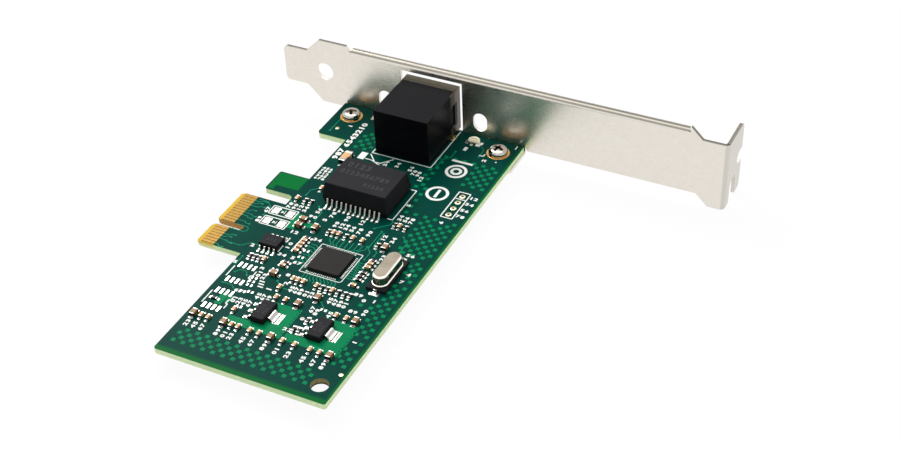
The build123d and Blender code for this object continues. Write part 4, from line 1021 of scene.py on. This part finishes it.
# solder: pads, and fillets that climb the ends of the parts
solder = {"padHigh": 0.06, "filletRise": 0.03, "chipPad": 0.65, "inward": 0.1, "padShare": 0.9,
          "chipToe": 0.2, "toeShare": 0.8, "climb": 0.3}


def filletShape():  # one unit of fillet: a hollow slope from a wall at x = 0 to its toe at x = 1
    shape = bmesh.new()
    rows = []
    feet = []
    for i in range(6):
        x = i / 5
        spots = [(x, j / 4 - 0.5) for j in range(5)]
        slope = [(x, y, (1 - x) ** 2.2 * (1 - 0.35 * (2 * abs(y)) ** 2) + 0.02) for x, y in spots]
        rows.append([shape.verts.new(spot) for spot in slope])
        feet.append([shape.verts.new((x, y, 0)) for x, y in spots])
    for grid, flip in ((rows, False), (feet, True)):
        for i in range(5):
            for j in range(4):
                ring = [grid[i][j], grid[i + 1][j], grid[i + 1][j + 1], grid[i][j + 1]]
                shape.faces.new(ring[::-1] if flip else ring)
    border = [(0, j) for j in range(5)] + [(i, 4) for i in range(1, 6)]
    border += [(5, j) for j in range(3, -1, -1)] + [(i, 0) for i in range(4, 0, -1)]
    for a, b in zip(border, border[1:] + border[:1]):
        shape.faces.new([feet[a[0]][a[1]], feet[b[0]][b[1]], rows[b[0]][b[1]], rows[a[0]][a[1]]])
    bmesh.ops.recalc_face_normals(shape, faces=shape.faces)
    bmesh.ops.scale(shape, verts=shape.verts, vec=(mm, mm, mm))
    return asPiece(shape, "filletShape")


def padShape():  # one unit of pad from x = 0 to 1: a low cushion of tin with its edges drawn down
    shape = bmesh.new()
    bmesh.ops.create_cube(shape, size=1)
    bmesh.ops.translate(shape, verts=shape.verts, vec=(0.5, 0, 0.5))
    upper = [e for e in shape.edges if all(v.co.z > 0.5 for v in e.verts)]
    upright = [e for e in shape.edges if e.verts[0].co.z != e.verts[1].co.z]
    bmesh.ops.bevel(shape, geom=upright + upper, offset=0.09, segments=2, profile=0.6, affect="EDGES")
    bmesh.ops.scale(shape, verts=shape.verts, vec=(mm, mm, mm))
    return asPiece(shape, "padShape")


def chipEnds(bodyNode, endNode):
    # for each metal end: the middle of its outer foot, its outward turn, its width and its height
    bodies = [middle(b) for b in solidBoxes(bodyNode)]
    found = []
    for end in solidBoxes(endNode):
        here = middle(end)
        body = min(bodies, key=lambda m: (m - here).xy.length)
        away = here - body
        size = end[1] - end[0]
        if abs(away.x) > abs(away.y):
            turn = 0 if away.x > 0 else math.pi
            found.append((here + Vector((math.copysign(size.x / 2, away.x), 0, 0)), turn, size.y, size.z))
        else:
            turn = math.pi / 2 if away.y > 0 else -math.pi / 2
            found.append((here + Vector((0, math.copysign(size.y / 2, away.y), 0)), turn, size.x, size.z))
    return found


padPlaces = []
filletPlaces = []


def addPad(x, y, turn, long, wide, high=solder["padHigh"]):
    padPlaces.append(((x, y, top), (0, 0, turn), (long, wide, high)))


def addFillet(x, y, turn, long, wide, high, rise=solder["filletRise"]):
    filletPlaces.append(((x, y, top + rise), (0, 0, turn), (long, wide, high)))


for kind in ("small_capacitor", "large_capacitor", "surge_capacitor", "resistor"):
    for spot, turn, width, high in chipEnds(kind + "_bodies", kind + "_ends"):
        heel = spot - Vector((math.cos(turn), math.sin(turn), 0)) * solder["inward"]
        addPad(heel.x, heel.y, turn, solder["chipPad"], width * solder["padShare"])
        addFillet(spot.x, spot.y, turn, solder["chipToe"], width * solder["toeShare"], high * solder["climb"])

# under the leads: toe length, side margin and how far the pad runs back
leadPads = {"transformer_leads": (0.75, 0.12, 1.0), "memory_leads": (0.6, 0.12, 0.7),
            "left_regulator_leads": (0.45, 0.12, 0.9), "right_regulator_leads": (0.45, 0.12, 0.9)}
leadToe = {"long": 0.75, "wide": 1.1, "high": 0.3}  # shares of the toe length and the lead's width, and mm
for node, (ahead, margin, back) in leadPads.items():
    boxes = solidBoxes(node)
    centre = sum((middle(b) for b in boxes), Vector()) / len(boxes)
    for low, high in boxes:
        here = middle((low, high))
        if "regulator" not in node:
            turn = -math.pi / 2 if here.y < centre.y else math.pi / 2
            wide = high.x - low.x
            toe = Vector((here.x, low.y if here.y < centre.y else high.y, 0))
        elif here.x < centre.x:
            turn = math.pi
            wide = high.y - low.y
            toe = Vector((low.x, here.y, 0))
        else:
            continue  # the tab has strips of its own
        heel = toe - Vector((math.cos(turn), math.sin(turn), 0)) * back
        addPad(heel.x, heel.y, turn, ahead + back, wide + margin * 2)
        addFillet(toe.x, toe.y, turn, ahead * leadToe["long"], wide * leadToe["wide"], leadToe["high"])

# on the regulators' tabs: where each tinned strip starts from the tab's end, and its length
tabStrips = {"wide": 3.5, "high": 0.05, "runs": ((-1.2, 1.15), (0.14, 0.42), (0.78, 0.3))}
for node in ("left_regulator_leads", "right_regulator_leads"):
    tab = max(solidBoxes(node), key=lambda b: b[1].x)
    for ahead, long in tabStrips["runs"]:
        addPad(tab[1].x + ahead, middle(tab).y, 0, long, tabStrips["wide"], tabStrips["high"])

crystalPads = {"back": 1.0, "long": 1.5, "wide": 2.4, "toe": (0.45, 1.2, 0.25), "rise": 0.04}
for box in solidBoxes("crystal_terminals"):
    here = middle(box)
    sign = 1 if here.y > middle(boxOf("crystal_base")).y else -1
    edge = box[1].y if sign > 0 else box[0].y
    turn = sign * math.pi / 2
    addPad(here.x, edge - sign * crystalPads["back"], turn, crystalPads["long"], crystalPads["wide"])
    addFillet(here.x, edge, turn, *crystalPads["toe"], rise=crystalPads["rise"])

lampPads = {"y": 53.75, "side": 0.8, "offsets": ((-2.2, -0.9), (-0.7, -1.4))}
for side in ("left", "right"):
    lampX = middle(boxOf(side + "_lamp_base")).x
    for dx, dy in lampPads["offsets"]:
        addPad(lampX + dx, lampPads["y"] + dy, 0, lampPads["side"], lampPads["side"])

# bare pad pairs beside the labels, where no part is fitted
barePairs = {"size": (0.5, 0.8), "split": 1.05, "places": [
    (20.1, -14.7), (20.2, -16.0), (20.4, -17.3), (20.1, -19.8), (21.9, -19.3), (22.2, -24.6), (26.0, -3.9),
    (26.0, -1.4), (40.0, -18.0), (22.8, -10.2)]}
wide, long = barePairs["size"]
for x, y in barePairs["places"]:
    for side in (-1, 1):
        addPad(x + side * barePairs["split"] / 2 - wide / 2, y, 0, wide, long)

fillet = filletShape()
pad = padShape()
mounted(copiesOf(pad, "solderPads", padPlaces, finish["tin"]), "solder")
mounted(copiesOf(fillet, "solderFillets", filletPlaces, finish["capTin"]), "solder")
discard(fillet, pad)
print("solder laid:", len(padPlaces), "pads and", len(filletPlaces), "fillets")


# chip parts, packages and their leads, each with its edges broken
softPieces = {  # node: piece, finish, slot, edge in mm
    "small_capacitor_bodies": ("smallCeramics", "tan", "chip_tan", 0.05),
    "large_capacitor_bodies": ("largeCeramics", "brown", "chip_tan", 0.07),
    "surge_capacitor_bodies": ("surgeCeramic", "tan", "chip_tan", 0.1),
    "resistor_bodies": ("resistorGlazes", "glaze", "chip_dark", 0.04),
    "small_capacitor_ends": ("smallCeramicEnds", "capTin", "tinned_copper", 0.07),
    "large_capacitor_ends": ("largeCeramicEnds", "capTin", "tinned_copper", 0.09),
    "surge_capacitor_ends": ("surgeCeramicEnds", "capTin", "tinned_copper", 0.12),
    "resistor_ends": ("resistorEnds", "capTin", "tinned_copper", 0.05),
    "transformer_body": ("transformerCase", "epoxy", "package_black", 0.14),
    "transformer_leads": ("transformerLegs", "lead", "tinned_copper", 0.05),
    "memory_body": ("memoryCase", "epoxy", "package_black", 0.08),
    "memory_leads": ("memoryLegs", "lead", "tinned_copper", 0.05),
    "left_regulator_body": ("leftRegulatorCase", "epoxy", "package_black", 0.1),
    "right_regulator_body": ("rightRegulatorCase", "epoxy", "package_black", 0.1),
    "left_regulator_leads": ("leftRegulatorLegs", "lead", "tinned_copper", 0.05),
    "right_regulator_leads": ("rightRegulatorLegs", "lead", "tinned_copper", 0.05),
    "crystal_base": ("crystalSeat", "epoxy", "black_moulding", 0.12),
    "crystal_can": ("crystalCan", "can", "crystal_can", 0.22),
    "crystal_terminals": ("crystalStrips", "lead", "tinned_copper", 0.05),
    "socket_housing": ("socketCase", "housing", "black_moulding", 0.18),
    "socket_shield": ("socketShield", "shield", "shield_metal", 0.06),
    "bracket": ("slotBracket", "nickel", "bracket_steel", 0.14)}
wideEdgeMm = 0.15  # a wider edge than this is rounded in one more step
for node, (name, look, slot, edge) in softPieces.items():
    softened(node, name, finish[look], slot, edge, 3 if edge > wideEdgeMm else 2)
print("parts softened:", len(softPieces))

keptForm("bare_pads", "tin")
keptForm("controller_lands", "lead")
keptForm("socket_contacts", "gold")
keptForm("socket_contact_block", "combBlock")


# the controller's case, a little inside its lands, and the lamps: each a rounded block over its outline

def roundedBlock(name, outline, low, high, edgeMm, look):
    shape = bmesh.new()
    face = shape.faces.new([shape.verts.new((x * mm, y * mm, low * mm)) for x, y in outline])
    raised = bmesh.ops.extrude_face_region(shape, geom=[face])
    verts = [v for v in raised["geom"] if isinstance(v, bmesh.types.BMVert)]
    bmesh.ops.translate(shape, verts=verts, vec=(0, 0, (high - low) * mm))
    upper = [e for e in shape.edges if all(v in verts for v in e.verts)]
    bmesh.ops.bevel(shape, geom=upper, offset=edgeMm * mm, segments=4, profile=0.6, affect="EDGES")
    bmesh.ops.recalc_face_normals(shape, faces=shape.faces)
    return settled(painted(asPiece(shape, name), finish[look]), weighted=True)


def roundedCorners(x0, x1, y0, y1, radius, steps=5):
    corners = []
    for cx, cy, start in ((x1 - radius, y0 + radius, -90), (x1 - radius, y1 - radius, 0),
                          (x0 + radius, y1 - radius, 90), (x0 + radius, y0 + radius, 180)):
        for k in range(steps + 1):
            angle = math.radians(start + 90 * k / steps)
            corners.append((cx + radius * math.cos(angle), cy + radius * math.sin(angle)))
    return corners


caseSpec = {"inset": 0.38, "corner": 0.5, "edge": 0.1}
inset = Vector((caseSpec["inset"], caseSpec["inset"], 0))
near, far = chipBox[0] + inset, chipBox[1] - inset
caseOutline = roundedCorners(near.x, far.x, near.y, far.y, caseSpec["corner"])
mounted(roundedBlock("controllerCase", caseOutline, near.z, far.z, caseSpec["edge"], "dieEpoxy"),
        "package_black", "controller_body")

lampSpec = {"halfLong": 1.55, "deep": 1.5, "high": 1.25, "edge": 0.5, "base": 0.35, "baseHalf": 1.35,
            "baseDeep": 0.9, "baseEdge": 0.08}
for side in ("left", "right"):
    base = boxOf(side + "_lamp_base")
    x = middle(base).x
    front, low = base[0].y, base[0].z
    split = low + lampSpec["base"]
    dome = [(x + lampSpec["halfLong"] * math.cos(a), front + lampSpec["deep"] * math.sin(a))
            for a in [math.pi * k / 20 for k in range(21)]]
    mounted(roundedBlock(side + "LampDome", dome, split, low + lampSpec["high"], lampSpec["edge"], "resin"),
            "lamp_lens", side + "_lamp_lens")
    half = lampSpec["baseHalf"]
    plinth = rectangle(x - half, x + half, front, front + lampSpec["baseDeep"])
    mounted(roundedBlock(side + "LampCase", plinth, low, split, lampSpec["baseEdge"], "lampCase"),
            "lamp_moulding", side + "_lamp_base")


# screws: pan heads with a cross recess, threads below
tip = screwBoxes[0][0].z
screwSpec = {"headRadius": 2.4, "headHigh": 1.7, "shankRadius": 1.22, "crossLong": 3.5, "crossWide": 0.8,
             "crossDeep": 1.2, "crossTurns": (29, 74), "threadRadius": 1.22, "threadRidge": 0.2,
             "threadPitch": 0.7, "threadStart": 0.3, "threadEnd": 0.2}


def headProfile(spec):  # tip, shank, seat and a domed head, as (radius, height) pairs
    r, h, shank = spec["headRadius"], spec["headHigh"], spec["shankRadius"]
    profile = [(0, tip), (shank - 0.25, tip), (shank, tip + 0.3), (shank, seat), (r - 0.06, seat)]
    profile += [(r, seat + 0.08), (r, seat + 0.34 * h)]
    profile += [(r * math.cos(a) * 0.32 + r * 0.68, seat + h * (0.34 + 0.5 * math.sin(a)))
                for a in [math.radians(d) for d in (18, 36, 54, 72)]]
    return profile + [(r * 0.6, seat + h * 0.9), (r * 0.3, seat + h * 0.98), (0, seat + h)]


def crossCutter(spec):  # two crossed wedges, each narrowed towards its bottom
    cutter = bmesh.new()
    crown = seat + spec["headHigh"]
    for turn in (0, math.pi / 2):
        found = bmesh.ops.create_cube(cutter, size=1)["verts"]
        for vert in found:
            isLow = vert.co.z < 0
            vert.co.x *= spec["crossLong"] * (0.45 if isLow else 1.0) * mm
            vert.co.y *= spec["crossWide"] * mm
            vert.co.z = (crown - spec["crossDeep"] if isLow else crown + 0.2) * mm
        bmesh.ops.rotate(cutter, verts=found, cent=(0, 0, 0), matrix=Matrix.Rotation(turn, 3, "Z"))
    return asPiece(cutter, "crossCutter")


def panScrew(spec):
    body = turnedShape("panScrew", headProfile(spec), 48)
    tool = crossCutter(spec)
    cut = body.modifiers.new("recess", "BOOLEAN")
    cut.object = tool
    cut.solver = "EXACT"
    cut.use_self = True
    edges = body.modifiers.new("edges", "BEVEL")
    edges.width = 0.05 * mm
    edges.segments = 2
    edges.limit_method = "ANGLE"
    edges.angle_limit = math.radians(40)
    body = evaluated(body)
    discard(tool)
    return body


screwSpots = [(middle(b).x, middle(b).y) for b in screwBoxes]
screwPlaces = [((x, y, 0), (0, 0, math.radians(turn)), (1, 1, 1))
               for (x, y), turn in zip(screwSpots, screwSpec["crossTurns"])]
screwShape = panScrew(screwSpec)
screws = copiesOf(screwShape, "panHeadScrews", screwPlaces, finish["screw"])
discard(screwShape)
mounted(screws, "screw_steel", "bracket_screws")
threadLow = tip + screwSpec["threadStart"]
threadLong = top - screwSpec["threadEnd"] * 2 - threadLow
thread = grown(pointsAt("screwThreads", standing(screwSpots, threadLow)), "thread",
               Radius=screwSpec["threadRadius"] * mm, Length=threadLong * mm,
               Turns=threadLong / screwSpec["threadPitch"], Ridge=screwSpec["threadRidge"] * mm,
               Finish=finish["screw"])
mounted(thread, "screw_steel")

# gold rings: under the screws, round the shield's legs and in the header, and two small reference dots
landSpec = {"outer": 2.92, "inner": 1.5, "thick": 0.06}
o, i, t = landSpec["outer"], landSpec["inner"], landSpec["thick"]
landProfile = [(i, 0), (o, 0), (o, t * 0.6), (o - 0.12, t), (i, t), (i, 0)]
screwRings = turnedCopies("screwRings", landProfile, screwSpots, top, "ringGold", 64)
mounted(screwRings, "contact_gold", "ground_lands")
smallRings = {
    "legs": [(22.1, 53.46), (36.7, 53.46)], "dots": [(7.9, 45.65), (53.7, -34.65)],
    "legProfile": [(0.75, 0), (1.15, 0), (1.13, 0.06), (0.98, 0.11), (0.8, 0.07), (0.75, 0)],
    "headerProfile": [(0.3, 0), (0.76, 0), (0.74, 0.06), (0.6, 0.09), (0.36, 0.09), (0.3, 0)],
    "holeProfile": [(0, 0), (0.3, 0), (0.3, 0.05), (0, 0.05)],
    "dotProfile": [(0, 0), (0.5, 0), (0.5, 0.03), (0.44, 0.05), (0, 0.05)]}
headerSpots = [tuple(middle(b).xy) for b in solidBoxes("bare_pads") if b[0].x > 48.5 and b[0].y > 20]
for name, profile, spots, rise, look, steps, slot in (
        ("legRings", "legProfile", smallRings["legs"], 0, "ringGold", 32, "contact_gold"),
        ("headerRings", "headerProfile", headerSpots, 0, "paleGold", 24, "contact_gold"),
        # painted shade: black discs stand in for the shaded insides of the header's holes
        ("headerHoles", "holeProfile", headerSpots, 0.02, "glaze", 16, "board"),
        ("referenceDots", "dotProfile", smallRings["dots"], 0, "paleGold", 24, "contact_gold")):
    mounted(turnedCopies(name, smallRings[profile], spots, top + rise, look, steps), slot)

# solder under the board: smooth cones round the tails and legs, in units of their radius and height
coneProfile = [(0, 0), (1, 0), (1, -0.07), (0.7, -0.22), (0.45, -0.5), (0.34, -0.85), (0.3, -1.0), (0, -1.02)]
coneShape = turnedShape("coneShape", coneProfile, 20)
conePlaces = []
for low, high in solidBoxes("solder_joints"):
    here = middle((low, high))
    radius = (high.x - low.x) / 2
    conePlaces.append(((here.x, here.y, under), (0, 0, 0), (radius, radius, high.z - low.z)))
cones = copiesOf(coneShape, "solderCones", conePlaces, finish["tin"])
discard(coneShape)
mounted(cones, "solder", "solder_joints")
print("fixings made")


# faint marks on the packages: plain digits
markSpec = {
    "thick": 0.012, "advance": 0.78,
    "transformer": [  # x, y, height, digits
        (22.9, 26.4, 2.1, "0123"), (22.3, 23.4, 1.7, "0123456789"), (30.0, 20.2, 1.4, "01234")],
    "memory": {"digits": "012", "advance": 0.9, "high": 1.0},
    "regulator": {"digits": ("0123", "456"), "advance": 0.8, "rowStep": 1.1, "start": (-0.55, -1.2),
                  "high": 0.85}}


def setMarks(name, found, node):  # marks lie on a package's top
    face = boxOf(node)[1].z
    mounted(setDigits(name, found, digits, face, finish["mark"], markSpec["thick"]), "package_black")


caseSpots = [(x + k * size * markSpec["advance"], y, 0, size, char)
             for x, y, size, chars in markSpec["transformer"] for k, char in enumerate(chars)]
setMarks("transformerMarks", caseSpots, "transformer_body")
row = markSpec["memory"]
mid = middle(boxOf("memory_body"))
memorySpots = [(mid.x + (k - 1) * row["advance"], mid.y, 0, row["high"], c)
               for k, c in enumerate(row["digits"])]
setMarks("memoryMarks", memorySpots, "memory_body")
rows = markSpec["regulator"]
for side in ("left", "right"):
    corner = middle(boxOf(side + "_regulator_body")).xy + Vector(rows["start"])
    spots = [(corner.x + line * rows["rowStep"], corner.y + k * rows["advance"], math.pi / 2, rows["high"], c)
             for line, text in enumerate(rows["digits"]) for k, c in enumerate(text)]
    setMarks(side + "RegulatorMarks", spots, side + "_regulator_body")
discard(*digits.values())
print("marks set")
